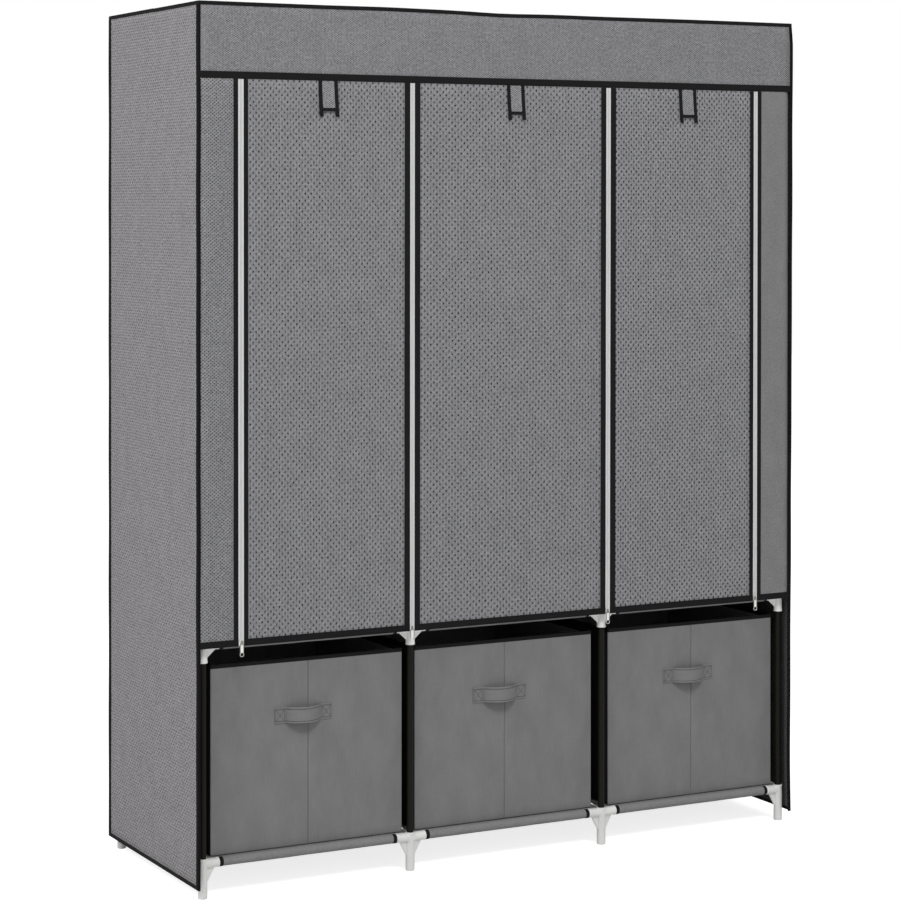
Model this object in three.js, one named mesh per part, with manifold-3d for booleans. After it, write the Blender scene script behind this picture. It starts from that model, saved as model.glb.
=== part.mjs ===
// Portable fabric wardrobe: steel tubes in moulded connectors carry a zipped cloth cover,
// two levels of cloth shelves, three hanging rods and three pull-out cloth boxes.
// Millimetres, +Z up, +X to the right, the doors face -Y, the feet stand on z = 0.

import * as THREE from 'three';
import { mergeVertices } from 'three/addons/utils/BufferGeometryUtils.js';
import Module from 'manifold-3d';

const wasm = await Module();
wasm.setup();

// Driving sizes of the whole wardrobe
const coverWidth = 1400;
const coverDepth = 500;
const coverHeight = 1750;
const coverFloorGap = 23;
const bayCount = 3;
const bottomLevel = 68.5;
const middleLevel = 494;

// Small values that every cut or fit may share
const overrun = 1;
const restGap = 0.3;
const mergeTolerance = 1e-5;

// Steel tubes
const tubeRadius = 7;
const tubeWall = 0.8;
const tubeSides = 10;

// Moulded connectors
const boreClearance = 0.3;
const socketWall = 1.9;
const lipProud = 0.5;
const lipLength = 4;
const socketReach = 33;
const socketDepth = 22;
const upperBarrelReach = 34.5;
const footSocketFloor = 34;
const gussetThickness = 4;
const gussetOverlap = 3;
const footGussetRun = 14.8;
const footGussetFall = 27.3;
const jointGussetRun = 16.8;
const jointGussetFall = 14.8;
const boreRadius = tubeRadius + boreClearance;
const socketRadius = boreRadius + socketWall;
const lipRadius = socketRadius + lipProud;

// Cloth panels and their bindings
const clothThickness = 1.6;
const bindingProud = 0.7;
const seamGap = 0.3;
const topBinding = 8;
const sideBinding = 12;
const leftEdgeBinding = 4.8;
const rightEdgeBinding = 8.2;
const panelHem = 8;
const headerHeight = 150;
const headerBinding = 14.2;
const doorHem = 13.4;
const doorOverhang = 3;
const outerDoorBinding = 8.8;
const innerDoorBinding = 12.5;

// Room between the frame and the cover around it
const sideClearance = 7.75;
const frontClearance = 14.5;
const postInset = bindingProud + clothThickness + sideClearance + lipRadius;
const postSetback = bindingProud + clothThickness + frontClearance + lipRadius;

// Zips, all sewn a little left of the middle
const outerStrip = 92.7;
const innerZipOffset = 4.85;
const zipShift = -3.8;
const zipHalfWidth = 6;
const coilGap = 1.2;
const tapeThickness = 1;
const tapeRecess = 0.2;
const tapeOverlap = 1;

// Zip sliders and their pull tabs
const sliderLength = 15;
const sliderOverhang = 2.5;
const sliderEdgeGap = 1.3;
const sliderTaper = 1.5;
const sliderShoulderLength = 9;
const sliderCorner = 2;
const sliderFrontPlate = 1.6;
const sliderBackPlate = 1.4;
const sliderSlot = 0.3;
const sliderPostClearance = 0.25;
const sliderPostLength = 5;
const archWidth = 2.8;
const archLeg = 1.2;
const archHeight = 2;
const archRoof = 1;
const archInset = 2;
const archLength = 9.7;
const tabBarClearance = 0.3;
const tabBarSides = 6;
const tabHeelGap = 0.5;
const tabTopWidth = 8.2;
const tabNeckWidth = 7.2;
const tabEndRadius = 5;
const tabHoleRadius = 2.2;
const tabHoleDrop = 18.4;
const tabNeckDrop = 12;
const tabWindowClearance = 0.7;
const tabWindowDrop = 6;
const tabArcSteps = 8;
const tabHoleSteps = 10;

// Tie straps for the rolled-up doors, each sewn on a little off the middle of its door
const strapShifts = [1.2, 8.8, 11.8];
const strapWidth = 42.5;
const strapBar = 8;
const strapLength = 69.5;
const strapTopGap = 2;
const strapGap = 0.3;
const strapThickness = 1;
const strapBarThickness = 1.4;
const strapCrossBar = 5.8;
const strapBarTail = 11;

// Cloth shelves
const sleevePadding = 2.3;
const sleeveInset = 0.6;
const tubeInsertGap = 0.4;
const shelfCloth = 1.5;
const shelfSideGap = 4.8;
const shelfNotchClearance = 3;

// Pull-out storage boxes, each pushed in a little off the middle of its bay
const boxShifts = [2.5, -3, 4];
const boxSideClearance = 7.3;
const boxFrontInset = 7.5;
const boxRearClearance = 12.8;
const boxLift = 0.3;
const boxHeadroom = 7;
const boxWall = 3;
const boxFloor = 4;
const boxRim = 7.5;
const boxRimProud = 0.7;
const handleOffset = 10;
const handleDrop = 109.5;
const handleHeight = 36;
const handleCloth = 2;
const handleGap = 0.3;
const handlePatch = 28.5;
const handleLoopHalf = 40;
const handleBulge = 18;
const handleFullnessShare = 0.7;
const handleSteps = 14;

// Planes and places worked out from the sizes above
const halfWidth = coverWidth / 2;
const halfDepth = coverDepth / 2;
const bayPitch = (coverWidth - 2 * postInset) / bayCount;
const frameDepth = coverDepth - 2 * postSetback;
const frameY = frameDepth / 2;
const postCount = bayCount + 1;
const postX = (index) => (index - bayCount / 2) * bayPitch;
const bayX = (index) => (index - (bayCount - 1) / 2) * bayPitch;
const panelFace = halfDepth - bindingProud;
const panelBack = panelFace - clothThickness;
const sideInner = halfWidth - bindingProud - clothThickness;
const topUnder = coverHeight - bindingProud - clothThickness;
const wallTop = topUnder - seamGap;
const topLevel = topUnder - restGap - lipRadius;
const headerBottom = coverHeight - headerHeight;
const doorTop = headerBottom - seamGap;
const doorBottom = middleLevel - doorOverhang;
const outerZip = halfWidth - outerStrip;
const innerZip = postX(postCount - 2) + innerZipOffset;
const zipPlaces = [-outerZip, -innerZip, innerZip, outerZip].map((x) => x + zipShift);
const tapeFace = panelFace - tapeRecess;
const tapeBack = tapeFace - tapeThickness;
const sliderBottom = doorBottom - sliderOverhang;
const sliderTop = sliderBottom + sliderLength;

// Colours and finishes read from the photograph
const finish = (color, roughness, metalness = 0) =>
  new THREE.MeshStandardMaterial({ color, roughness, metalness });
const greyCloth = finish(0x7d7d7f, 0.95);
const sideCloth = finish(0x8d8b8c, 0.95);
const boxCloth = finish(0x737375, 0.95);
const blackCloth = finish(0x1e1e1e, 0.9);
const whiteMoulding = finish(0xcfcfcd, 0.45);
const blackSteel = finish(0x211f1b, 0.35, 0.6);
const zipMetal = finish(0xd8d8d6, 0.35, 0.7);

const wardrobe = new THREE.Group();

// Turns a closed three.js geometry into a solid that can be joined and cut.
function toSolid(geometry) {
  const bare = geometry.index ? geometry.toNonIndexed() : geometry.clone();
  bare.deleteAttribute('normal');
  bare.deleteAttribute('uv');
  const merged = mergeVertices(bare, mergeTolerance);
  const mesh = new wasm.Mesh({
    numProp: 3,
    vertProperties: merged.attributes.position.array,
    triVerts: new Uint32Array(merged.index.array),
  });
  return new wasm.Manifold(mesh);
}

// Turns a finished solid back into a three.js geometry.
function toGeometry(solid) {
  const mesh = solid.getMesh();
  const geometry = new THREE.BufferGeometry();
  geometry.setAttribute('position', new THREE.BufferAttribute(new Float32Array(mesh.vertProperties), 3));
  geometry.setIndex(new THREE.BufferAttribute(new Uint32Array(mesh.triVerts), 1));
  geometry.computeVertexNormals();
  return geometry;
}

// Adds one named piece to the wardrobe.
function addPiece(name, solid, material, position = [0, 0, 0]) {
  const mesh = new THREE.Mesh(toGeometry(solid), material);
  mesh.name = name;
  mesh.position.set(...position);
  wardrobe.add(mesh);
  return mesh;
}

const join = (solids) => solids.reduce((whole, next) => whole.add(next));
const cut = (solid, tools) => tools.reduce((rest, tool) => rest.subtract(tool), solid);

// A block between two corners.
function block([x0, x1], [y0, y1], [z0, z1]) {
  const geometry = new THREE.BoxGeometry(x1 - x0, y1 - y0, z1 - z0);
  geometry.translate((x0 + x1) / 2, (y0 + y1) / 2, (z0 + z1) / 2);
  return toSolid(geometry);
}

// A turned solid around +Z from a profile of [radius, height] points, bottom to top.
function turned(profile, sides) {
  const points = profile.map(([radius, height]) => new THREE.Vector2(radius, height));
  const geometry = new THREE.LatheGeometry(points, sides);
  geometry.rotateX(Math.PI / 2);
  return toSolid(geometry);
}

// A plain round bar around +Z.
function bar(radius, low, high, sides = tubeSides) {
  return turned([[0, low], [radius, low], [radius, high], [0, high]], sides);
}

// A length of steel tube around +Z.
function tube(low, high) {
  return bar(tubeRadius, low, high).subtract(bar(tubeRadius - tubeWall, low - overrun, high + overrun));
}

const turns = {
  '+X': [0, 90, 0],
  '-X': [0, -90, 0],
  '+Y': [-90, 0, 0],
  '-Y': [90, 0, 0],
  '+Z': [0, 0, 0],
};

// Points a solid made along +Z in another direction.
const aim = (solid, direction) => solid.rotate(turns[direction]);

// A flat outline in the X-Z plane with its thickness along Y, from one y to another.
function plate(outline, y0, y1, holes = []) {
  const shape = new THREE.Shape(outline.map(([x, z]) => new THREE.Vector2(x, z)));
  shape.holes.push(...holes);
  const geometry = new THREE.ExtrudeGeometry(shape, { depth: y1 - y0, bevelEnabled: false });
  geometry.rotateX(Math.PI / 2);
  geometry.translate(0, y1, 0);
  return toSolid(geometry);
}

// Moulded connectors

// One socket along +Z from low to high, with a thicker lip at its mouth.
function lipped(low, high) {
  return turned([
    [0, low],
    [socketRadius, low],
    [socketRadius, high - lipLength],
    [lipRadius, high - lipLength],
    [lipRadius, high],
    [0, high],
  ], tubeSides);
}

// The front connectors have lips. Those behind the boxes are plain.
const plain = (low, high) => bar(socketRadius, low, high);

const socketBore = bar(boreRadius, socketReach - socketDepth, socketReach + overrun);

// A triangular web between a level socket and the barrel below it.
function gusset(direction, run, fall) {
  const root = socketRadius - gussetOverlap;
  const reach = socketRadius + run;
  const drop = socketRadius + fall;
  const web = plate(
    [[root, -root], [root, -drop], [socketRadius, -drop], [reach, -socketRadius], [reach, -root]],
    -gussetThickness / 2,
    gussetThickness / 2,
  );
  const spins = { '+X': 0, '+Y': 90, '-X': 180, '-Y': -90 };
  return web.rotate([0, 0, spins[direction]]);
}

// A foot: a barrel that stands on the floor, with level sockets and webs under them.
function footConnector(directions, bored, socket) {
  const barrel = socket(-bottomLevel, lipRadius);
  const arms = directions.map((direction) => aim(socket(0, socketReach), direction));
  const webs = directions.map((direction) => gusset(direction, footGussetRun, footGussetFall));
  const bores = bored.map((direction) => aim(socketBore, direction));
  const postBore = bar(boreRadius, footSocketFloor - bottomLevel, lipRadius + overrun);
  return cut(join([barrel, ...arms, ...webs]), [postBore, ...bores]);
}

// A middle connector: a sleeve on the upright, with level sockets and webs under them.
function middleConnector(directions, bored, socket) {
  const barrel = socket(-upperBarrelReach, upperBarrelReach).rotate([180, 0, 0]);
  const arms = directions.map((direction) => aim(socket(0, socketReach), direction));
  const webs = directions.map((direction) => gusset(direction, jointGussetRun, jointGussetFall));
  const bores = bored.map((direction) => aim(socketBore, direction));
  const postBore = bar(boreRadius, -upperBarrelReach - overrun, upperBarrelReach + overrun);
  return cut(join([barrel, ...arms, ...webs]), [postBore, ...bores]);
}

// A top cap on an upright, and the bore that it is pushed on by.
const topCap = plain(-upperBarrelReach, lipRadius);
const topBore = bar(boreRadius, -upperBarrelReach - overrun, 0);

// The directions along the wardrobe in which the connector on one upright reaches.
function reaches(index) {
  const directions = [];
  if (index > 0) directions.push('-X');
  if (index < postCount - 1) directions.push('+X');
  return directions;
}

// A rear connector carries the side rail that runs forward to its front partner.
const sideRail = aim(
  bar(tubeRadius, socketReach - socketDepth, frameDepth - socketReach + socketDepth - tubeInsertGap),
  '-Y',
);

for (let index = 0; index < postCount; index += 1) {
  const number = index + 1;
  const x = postX(index);
  const along = reaches(index);
  const inward = ['+Y', ...along];
  const outward = ['-Y', ...along];
  const frontFoot = footConnector(inward, inward, lipped);
  const rearFoot = footConnector(outward, along, plain).add(sideRail);
  const frontJoint = middleConnector(inward, inward, lipped);
  const rearJoint = middleConnector(outward, along, plain).add(sideRail);
  addPiece(`foot_front_${number}`, frontFoot, whiteMoulding, [x, -frameY, bottomLevel]);
  addPiece(`foot_rear_${number}`, rearFoot, whiteMoulding, [x, frameY, bottomLevel]);
  addPiece(`joint_front_${number}`, frontJoint, whiteMoulding, [x, -frameY, middleLevel]);
  addPiece(`joint_rear_${number}`, rearJoint, whiteMoulding, [x, frameY, middleLevel]);
}

// Uprights: long tubes from the foot sockets, through the middle sleeves, into the top caps.
const uprightBottom = footSocketFloor + restGap;
const uprightTop = topLevel - restGap;
const upright = tube(uprightBottom, uprightTop);
for (let index = 0; index < postCount; index += 1) {
  addPiece(`upright_front_${index + 1}`, upright, blackSteel, [postX(index), -frameY, 0]);
  addPiece(`upright_rear_${index + 1}`, upright, blackSteel, [postX(index), frameY, 0]);
}

// A tube across one bay ends inside the sockets on both sides.
const insertHalf = bayPitch / 2 - socketReach + socketDepth - tubeInsertGap;

// Top frame: on each pair of uprights two caps, the side rail between them and a tee in its middle,
// with the front rail, the hanging rod and the rear rail that run from them to the next pair.
const topRows = [-frameY, 0, frameY];
const sideBar = aim(bar(tubeRadius, -frameY, frameY), '+Y');
const bayBar = aim(bar(tubeRadius, 0, bayPitch / 2 + insertHalf), '+X');
const railSleeve = aim(bar(socketRadius, -socketReach, socketReach), '+Y');
const nextSockets = topRows.map((y) => aim(socketBore, '-X').translate([0, y, 0]));
for (let index = 0; index < postCount; index += 1) {
  const along = reaches(index);
  const topParts = [sideBar, railSleeve];
  topRows.forEach((y) => {
    if (y) topParts.push(topCap.translate([0, y, 0]));
    along.forEach((direction) => topParts.push(aim(plain(0, socketReach), direction).translate([0, y, 0])));
    if (along.includes('+X')) topParts.push(bayBar.translate([0, y, 0]));
  });
  [-1, 1].forEach((side) => {
    const arm = aim(plain(0, socketReach), side < 0 ? '+Y' : '-Y');
    topParts.push(arm.translate([0, side * frameY, 0]));
  });
  const bores = [topBore.translate([0, -frameY, 0]), topBore.translate([0, frameY, 0])];
  if (along.includes('-X')) bores.push(...nextSockets);
  addPiece(`top_frame_${index + 1}`, cut(join(topParts), bores), whiteMoulding, [postX(index), 0, topLevel]);
}

// Cloth shelves: a sheet stretched between two sleeved rails, notched around the connectors.
const sleeveRadius = tubeRadius + sleevePadding;
const sleeveHalf = bayPitch / 2 - socketReach - sleeveInset;
const sleevedRail = aim(cut(join([
  bar(tubeRadius, -insertHalf, insertHalf),
  bar(sleeveRadius, -sleeveHalf, sleeveHalf),
]), [bar(tubeRadius - tubeWall, -insertHalf - overrun, insertHalf + overrun)]), '+X');
const sheetHalf = bayPitch / 2 - shelfSideGap;
const notch = socketReach + shelfNotchClearance;
const sheetZ = [sleeveRadius - shelfCloth, sleeveRadius];
const shelf = join([
  sleevedRail.translate([0, -frameY, 0]),
  sleevedRail.translate([0, frameY, 0]),
  block([-sleeveHalf, sleeveHalf], [-frameY, frameY], sheetZ),
  block([-sheetHalf, sheetHalf], [notch - frameY, frameY - notch], sheetZ),
]);
for (let index = 0; index < bayCount; index += 1) {
  addPiece(`shelf_bottom_${index + 1}`, shelf, greyCloth, [bayX(index), 0, bottomLevel]);
  addPiece(`shelf_middle_${index + 1}`, shelf, greyCloth, [bayX(index), 0, middleLevel]);
}

// Cover

// A cloth wall that stands across X or Y, with raised bindings along its four edges.
// face is the plane of the bindings, side is the way that plane looks.
function coverWall(axis, side, face, span, [low, high], [edge, upper, lower]) {
  const inner = face - bindingProud - clothThickness;
  const slab = (from, to, depth, z0, z1) => {
    const across = [Math.min(side * inner, side * depth), Math.max(side * inner, side * depth)];
    return axis === 'X' ? block(across, [from, to], [z0, z1]) : block([from, to], across, [z0, z1]);
  };
  return join([
    slab(-span, span, face - bindingProud, low, high),
    slab(-span, -span + edge, face, low, high),
    slab(span - edge, span, face, low, high),
    slab(-span, span, face, high - upper, high),
    slab(-span, span, face, low, low + lower),
  ]);
}

const wallEdges = [sideBinding, topBinding, panelHem];
const wallHeight = [coverFloorGap, wallTop];
const wallSpan = sideInner - seamGap;
addPiece('cover_side_left', coverWall('X', -1, halfWidth, halfDepth, wallHeight, wallEdges), sideCloth);
addPiece('cover_side_right', coverWall('X', 1, halfWidth, halfDepth, wallHeight, wallEdges), sideCloth);
addPiece('cover_back', coverWall('Y', 1, halfDepth, wallSpan, wallHeight, wallEdges), greyCloth);

const topPanel = join([
  block([-halfWidth, halfWidth], [-halfDepth, halfDepth], [topUnder, topUnder + clothThickness]),
  cut(block([-halfWidth, halfWidth], [-halfDepth, halfDepth], [topUnder, coverHeight]), [
    block(
      [topBinding - halfWidth, halfWidth - topBinding],
      [topBinding - halfDepth, halfDepth - topBinding],
      [topUnder - overrun, coverHeight + overrun],
    ),
  ]),
]);
addPiece('cover_top', topPanel, greyCloth);

// Cloth of the front, drawn from the right side of the wardrobe for x and from z0 to z1 for height.
const clothSlab = (x, z) => block(x, [-panelFace, -panelBack], z);
const boundSlab = (x, z) => block(x, [-halfDepth, -panelBack], z);
const tapeSlab = (x, z) => block(x, [-tapeFace, -tapeBack], z);

// The half of a zip's tape that lies on one side (-1 or 1) of its middle line.
function tapeHalf(zipX, side, low, high) {
  const edge = zipX + side * coilGap / 2;
  const root = zipX + side * (zipHalfWidth + tapeOverlap);
  return tapeSlab([Math.min(edge, root), Math.max(edge, root)], [low, high]);
}

// A tape that holds no slider stops just above it, so that the slider can leave with its door.
const freeTapeLow = sliderTop + coilGap;

// The fixed part of the front: the header and the strip beside each outer zip.
const surroundParts = [
  clothSlab([-wallSpan, wallSpan], [headerBottom, wallTop]),
  boundSlab([-wallSpan, wallSpan], [wallTop - topBinding, wallTop]),
  boundSlab([-wallSpan, wallSpan], [headerBottom, headerBottom + headerBinding]),
];
const strips = [
  { side: -1, zipX: zipPlaces[0], edgeBinding: leftEdgeBinding },
  { side: 1, zipX: zipPlaces[bayCount], edgeBinding: rightEdgeBinding },
];
strips.forEach(({ side, zipX, edgeBinding }) => {
  const ordered = (a, b) => [Math.min(a, b), Math.max(a, b)];
  const inner = zipX + side * zipHalfWidth;
  const outer = side * wallSpan;
  surroundParts.push(
    clothSlab(ordered(inner, outer), [doorBottom, headerBottom]),
    boundSlab(ordered(inner, inner + side * outerDoorBinding), [doorBottom, headerBottom + overrun]),
    boundSlab(ordered(outer - side * edgeBinding, outer), [doorBottom, wallTop]),
    boundSlab(ordered(inner, outer), [doorBottom, doorBottom + doorHem]),
    tapeHalf(zipX, side, freeTapeLow, headerBottom + overrun),
  );
});
addPiece('cover_front_surround', join(surroundParts), greyCloth);

// Doors: cloth between two zips. Each edge has its zip, its binding and whether it carries the slider.
const doorEdge = (zip, binding, slider) => ({ zipX: zipPlaces[zip], binding, slider });
const doorEdges = [
  [doorEdge(0, outerDoorBinding, true), doorEdge(1, innerDoorBinding, false)],
  [doorEdge(1, innerDoorBinding, true), doorEdge(2, innerDoorBinding, true)],
  [doorEdge(2, innerDoorBinding, false), doorEdge(3, outerDoorBinding, true)],
];
const doorMiddles = [];
doorEdges.forEach(([left, right], index) => {
  const from = left.zipX + zipHalfWidth;
  const to = right.zipX - zipHalfWidth;
  doorMiddles.push((from + to) / 2);
  const tapeLow = (edge) => (edge.slider ? doorBottom : freeTapeLow);
  addPiece(`door_${index + 1}`, join([
    clothSlab([from, to], [doorBottom, doorTop]),
    boundSlab([from, from + left.binding], [doorBottom, doorTop]),
    boundSlab([to - right.binding, to], [doorBottom, doorTop]),
    boundSlab([from, to], [doorBottom, doorBottom + doorHem]),
    tapeHalf(left.zipX, 1, tapeLow(left), doorTop),
    tapeHalf(right.zipX, -1, tapeLow(right), doorTop),
  ]), greyCloth);
});

// Zip sliders

// The outline shared by both plates of a slider: a narrow nose above wide shoulders.
const shoulderHalf = zipHalfWidth - sliderEdgeGap;
const noseHalf = shoulderHalf - sliderTaper;
const sliderOutline = [
  [sliderCorner - shoulderHalf, 0],
  [shoulderHalf - sliderCorner, 0],
  [shoulderHalf, sliderCorner],
  [shoulderHalf, sliderShoulderLength],
  [noseHalf, sliderLength],
  [-noseHalf, sliderLength],
  [-shoulderHalf, sliderShoulderLength],
  [-shoulderHalf, sliderCorner],
];
const plateFront = tapeFace + sliderSlot;
const plateBack = tapeBack - sliderSlot;
const sliderFace = plateFront + sliderFrontPlate;
const archHalf = archWidth / 2;
const postHalf = coilGap / 2 - sliderPostClearance;
const sliderRear = -plateBack + sliderBackPlate;
const archTop = archInset + archLength;
const archOuter = sliderFace + archHeight + archRoof;
const slider = join([
  plate(sliderOutline, -sliderFace, -plateFront),
  plate(sliderOutline, -plateBack, sliderRear),
  block([-postHalf, postHalf], [-sliderFace, sliderRear], [0, sliderPostLength]),
  cut(block([-archHalf, archHalf], [-archOuter, -plateFront], [archInset, archTop]), [
    block(
      [-archHalf - overrun, archHalf + overrun],
      [-sliderFace - archHeight, -sliderFace],
      [archInset + archLeg, archTop - archLeg],
    ),
  ]),
]);

// A pull tab: a round bar under the slider's arch, a window around the arch and a round eye below.
const tabBarRadius = archHeight / 2 - tabBarClearance;
const tabHalfThickness = tabBarRadius;
const tabWindowHalf = archWidth / 2 + tabWindowClearance;
const tabPivotY = sliderFace + archHeight / 2;
const tabPivotZ = sliderBottom + archInset + archLeg + tabBarRadius + tabHeelGap;
const tabHole = new THREE.Path(Array.from({ length: tabHoleSteps }, (_, step) => {
  const angle = 2 * Math.PI * step / tabHoleSteps;
  return new THREE.Vector2(tabHoleRadius * Math.cos(angle), tabHoleRadius * Math.sin(angle) - tabHoleDrop);
}));
const eyeArc = Array.from({ length: tabArcSteps + 1 }, (_, step) => {
  const angle = -Math.PI * step / tabArcSteps;
  return [tabEndRadius * Math.cos(angle), -tabHoleDrop + tabEndRadius * Math.sin(angle)];
});
const tabOutline = [
  [-tabTopWidth / 2, 0],
  [tabTopWidth / 2, 0],
  [tabNeckWidth / 2, -tabNeckDrop],
  ...eyeArc,
  [-tabNeckWidth / 2, -tabNeckDrop],
];
const tabWindow = new THREE.Path([
  [-tabWindowHalf, -tabBarRadius],
  [-tabWindowHalf, -tabWindowDrop],
  [tabWindowHalf, -tabWindowDrop],
  [tabWindowHalf, -tabBarRadius],
].map(([x, z]) => new THREE.Vector2(x, z)));
const tab = join([
  plate(tabOutline, -tabHalfThickness, tabHalfThickness, [tabWindow, tabHole]),
  aim(bar(tabBarRadius, -tabTopWidth / 2, tabTopWidth / 2, tabBarSides), '+X'),
]);

zipPlaces.forEach((zipX, index) => {
  addPiece(`zip_slider_${index + 1}`, slider, zipMetal, [zipX, 0, sliderBottom]);
  addPiece(`pull_tab_${index + 1}`, tab, zipMetal, [zipX, -tabPivotY, tabPivotZ]);
});

// Tie straps: a grey middle between two dark bars, with a cross bar near the lower end.
const strapBack = -panelFace - strapGap;
const strapHalf = strapWidth / 2;
const strapY = [strapBack - strapThickness, strapBack];
const strapBarY = [strapBack - strapBarThickness, strapBack];
const strapClothEnd = strapBarTail + strapCrossBar - strapLength;
const strap = join([
  block([-strapHalf, strapHalf], strapY, [strapClothEnd, 0]),
  block([-strapHalf, strapBar - strapHalf], strapBarY, [-strapLength, 0]),
  block([strapHalf - strapBar, strapHalf], strapBarY, [-strapLength, 0]),
  block([-strapHalf, strapHalf], strapBarY, [strapClothEnd - strapCrossBar, strapClothEnd]),
]);
doorMiddles.forEach((middle, index) => {
  const place = [middle + strapShifts[index], 0, headerBottom - strapTopGap];
  addPiece(`tie_strap_${index + 1}`, strap, blackCloth, place);
});

// Storage boxes and their cloth handles
const boxBottom = bottomLevel + lipRadius + boxLift;
const boxTop = middleLevel - upperBarrelReach - boxHeadroom;
const boxHalf = bayPitch / 2 - lipRadius - boxSideClearance;
const boxFront = boxFrontInset - frameY;
const boxSpanY = [boxFront, frameY - lipRadius - boxRearClearance];
const inset = ([low, high], by) => [low + by, high - by];
const rimY = inset(boxSpanY, -boxRimProud);
const storageBox = cut(join([
  block([-boxHalf, boxHalf], boxSpanY, [boxBottom, boxTop]),
  block([-boxHalf - boxRimProud, boxHalf + boxRimProud], rimY, [boxTop - boxRim, boxTop]),
]), [
  block(
    inset([-boxHalf, boxHalf], boxWall),
    inset(boxSpanY, boxWall),
    [boxBottom + boxFloor, boxTop + overrun],
  ),
]);

// The handle in plan: flat patches at both ends and a loop that stands out between them.
function handleOutline() {
  const patchEnd = handleLoopHalf + handlePatch;
  const innerHalf = handleLoopHalf - handleCloth;
  const swell = (share) => handleBulge * Math.sin(Math.PI * share) ** handleFullnessShare;
  const outer = [];
  const inner = [];
  for (let step = 0; step <= handleSteps; step += 1) {
    const share = step / handleSteps;
    const along = 2 * share - 1;
    outer.push([handleLoopHalf * along, -handleCloth - swell(share)]);
    if (step > 0 && step < handleSteps) inner.push([innerHalf * along, -swell(share)]);
  }
  return [
    [-patchEnd, 0],
    [-patchEnd, -handleCloth],
    ...outer,
    [patchEnd, -handleCloth],
    [patchEnd, 0],
    [innerHalf, 0],
    ...inner.reverse(),
    [-innerHalf, 0],
  ];
}
const handleShape = new THREE.Shape(handleOutline().map(([x, y]) => new THREE.Vector2(x, y)));
const handleGeometry = new THREE.ExtrudeGeometry(handleShape, { depth: handleHeight, bevelEnabled: false });
const handle = toSolid(handleGeometry);

for (let index = 0; index < bayCount; index += 1) {
  const x = bayX(index);
  addPiece(`storage_box_${index + 1}`, storageBox, boxCloth, [x + boxShifts[index], 0, 0]);
  const handlePlace = [x - handleOffset, boxFront - handleGap, boxTop - handleDrop - handleHeight / 2];
  addPiece(`box_handle_${index + 1}`, handle, boxCloth, handlePlace);
}

// The sliders' arches stand furthest forward, so the whole is set back by half of that to centre it.
wardrobe.position.y = (archOuter - halfDepth) / 2;
wardrobe.updateMatrixWorld(true);

export default wardrobe;
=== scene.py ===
# %% [markdown]
# # A portable fabric wardrobe
# A steel tube frame stands inside a zipped cloth cover, with three pull-out cloth boxes below the doors.
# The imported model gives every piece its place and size. This lesson dresses it: cloth panels with black
# bindings, zips with coils, moulded connectors, coated tubes and sewn handles.

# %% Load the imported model
import math

import bmesh
import bpy
import numpy as np
from mathutils import Matrix, Vector


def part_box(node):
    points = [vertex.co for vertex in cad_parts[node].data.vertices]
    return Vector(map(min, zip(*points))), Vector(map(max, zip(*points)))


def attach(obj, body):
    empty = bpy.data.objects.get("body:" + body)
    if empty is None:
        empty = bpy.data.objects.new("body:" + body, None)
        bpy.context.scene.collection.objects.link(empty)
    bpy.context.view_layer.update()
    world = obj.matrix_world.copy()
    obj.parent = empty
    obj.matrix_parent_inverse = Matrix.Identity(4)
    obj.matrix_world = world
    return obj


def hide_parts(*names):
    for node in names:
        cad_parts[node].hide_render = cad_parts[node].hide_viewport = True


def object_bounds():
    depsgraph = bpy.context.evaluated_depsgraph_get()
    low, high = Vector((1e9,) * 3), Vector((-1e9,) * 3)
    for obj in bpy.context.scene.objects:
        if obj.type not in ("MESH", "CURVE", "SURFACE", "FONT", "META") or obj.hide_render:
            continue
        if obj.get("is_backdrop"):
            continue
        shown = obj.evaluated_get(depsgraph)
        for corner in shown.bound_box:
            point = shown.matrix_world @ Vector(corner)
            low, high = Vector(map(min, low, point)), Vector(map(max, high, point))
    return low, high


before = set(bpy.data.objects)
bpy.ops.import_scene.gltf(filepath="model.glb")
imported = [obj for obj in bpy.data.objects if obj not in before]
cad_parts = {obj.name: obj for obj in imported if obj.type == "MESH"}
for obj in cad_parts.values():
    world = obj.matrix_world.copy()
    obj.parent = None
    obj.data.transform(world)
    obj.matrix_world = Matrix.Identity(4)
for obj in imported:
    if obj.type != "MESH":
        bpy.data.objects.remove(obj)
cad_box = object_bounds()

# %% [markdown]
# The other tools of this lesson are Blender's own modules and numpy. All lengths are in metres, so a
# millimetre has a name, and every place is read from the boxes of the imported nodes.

MM = 0.001
FULL_TURN = 2 * math.pi
POSTS = range(1, 5)
BAYS = range(1, 4)


def corners(node):
    """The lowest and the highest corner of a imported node, as two rows."""
    return np.array([list(corner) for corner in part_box(node)])


def middle(node):
    """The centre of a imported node's box."""
    return corners(node).mean(axis=0)


surround_low, surround_high = corners("cover_front_surround")
side_low = corners("cover_side_left")[0]
cover_low = np.array([side_low[0], surround_low[1], side_low[2]])
FAR_SIDES = ("side_right", "back", "top")
cover_high = np.array([corners(f"cover_{side}")[1, axis] for axis, side in enumerate(FAR_SIDES)])
door_low, door_high = corners("door_2")[:, 2]
header_low = door_high + 0.3 * MM
zip_x = [middle(f"zip_slider_{number}")[0] for number in POSTS]
print("cover from", cover_low.round(4), "to", cover_high.round(4), "zips at", np.round(zip_x, 4))

# %% [markdown]
# ## Shader maths written as Python
# A finish is a tree of nodes. Value wraps one socket and turns Python's operators into Math nodes, so
# that a weave or a row of dots is written as the formula that it is. Finish adds nodes by name and ends
# in one Principled shader.

# %% Value and Finish
def operator(operation, reflected=False):
    """A method of Value that adds one Math node. A reflected one puts the other operand first."""
    def method(self, *other):
        operands = (*other, self) if reflected else (self, *other)
        return self.finish.node("ShaderNodeMath", {"operation": operation}, dict(enumerate(operands)))
    return method


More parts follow.
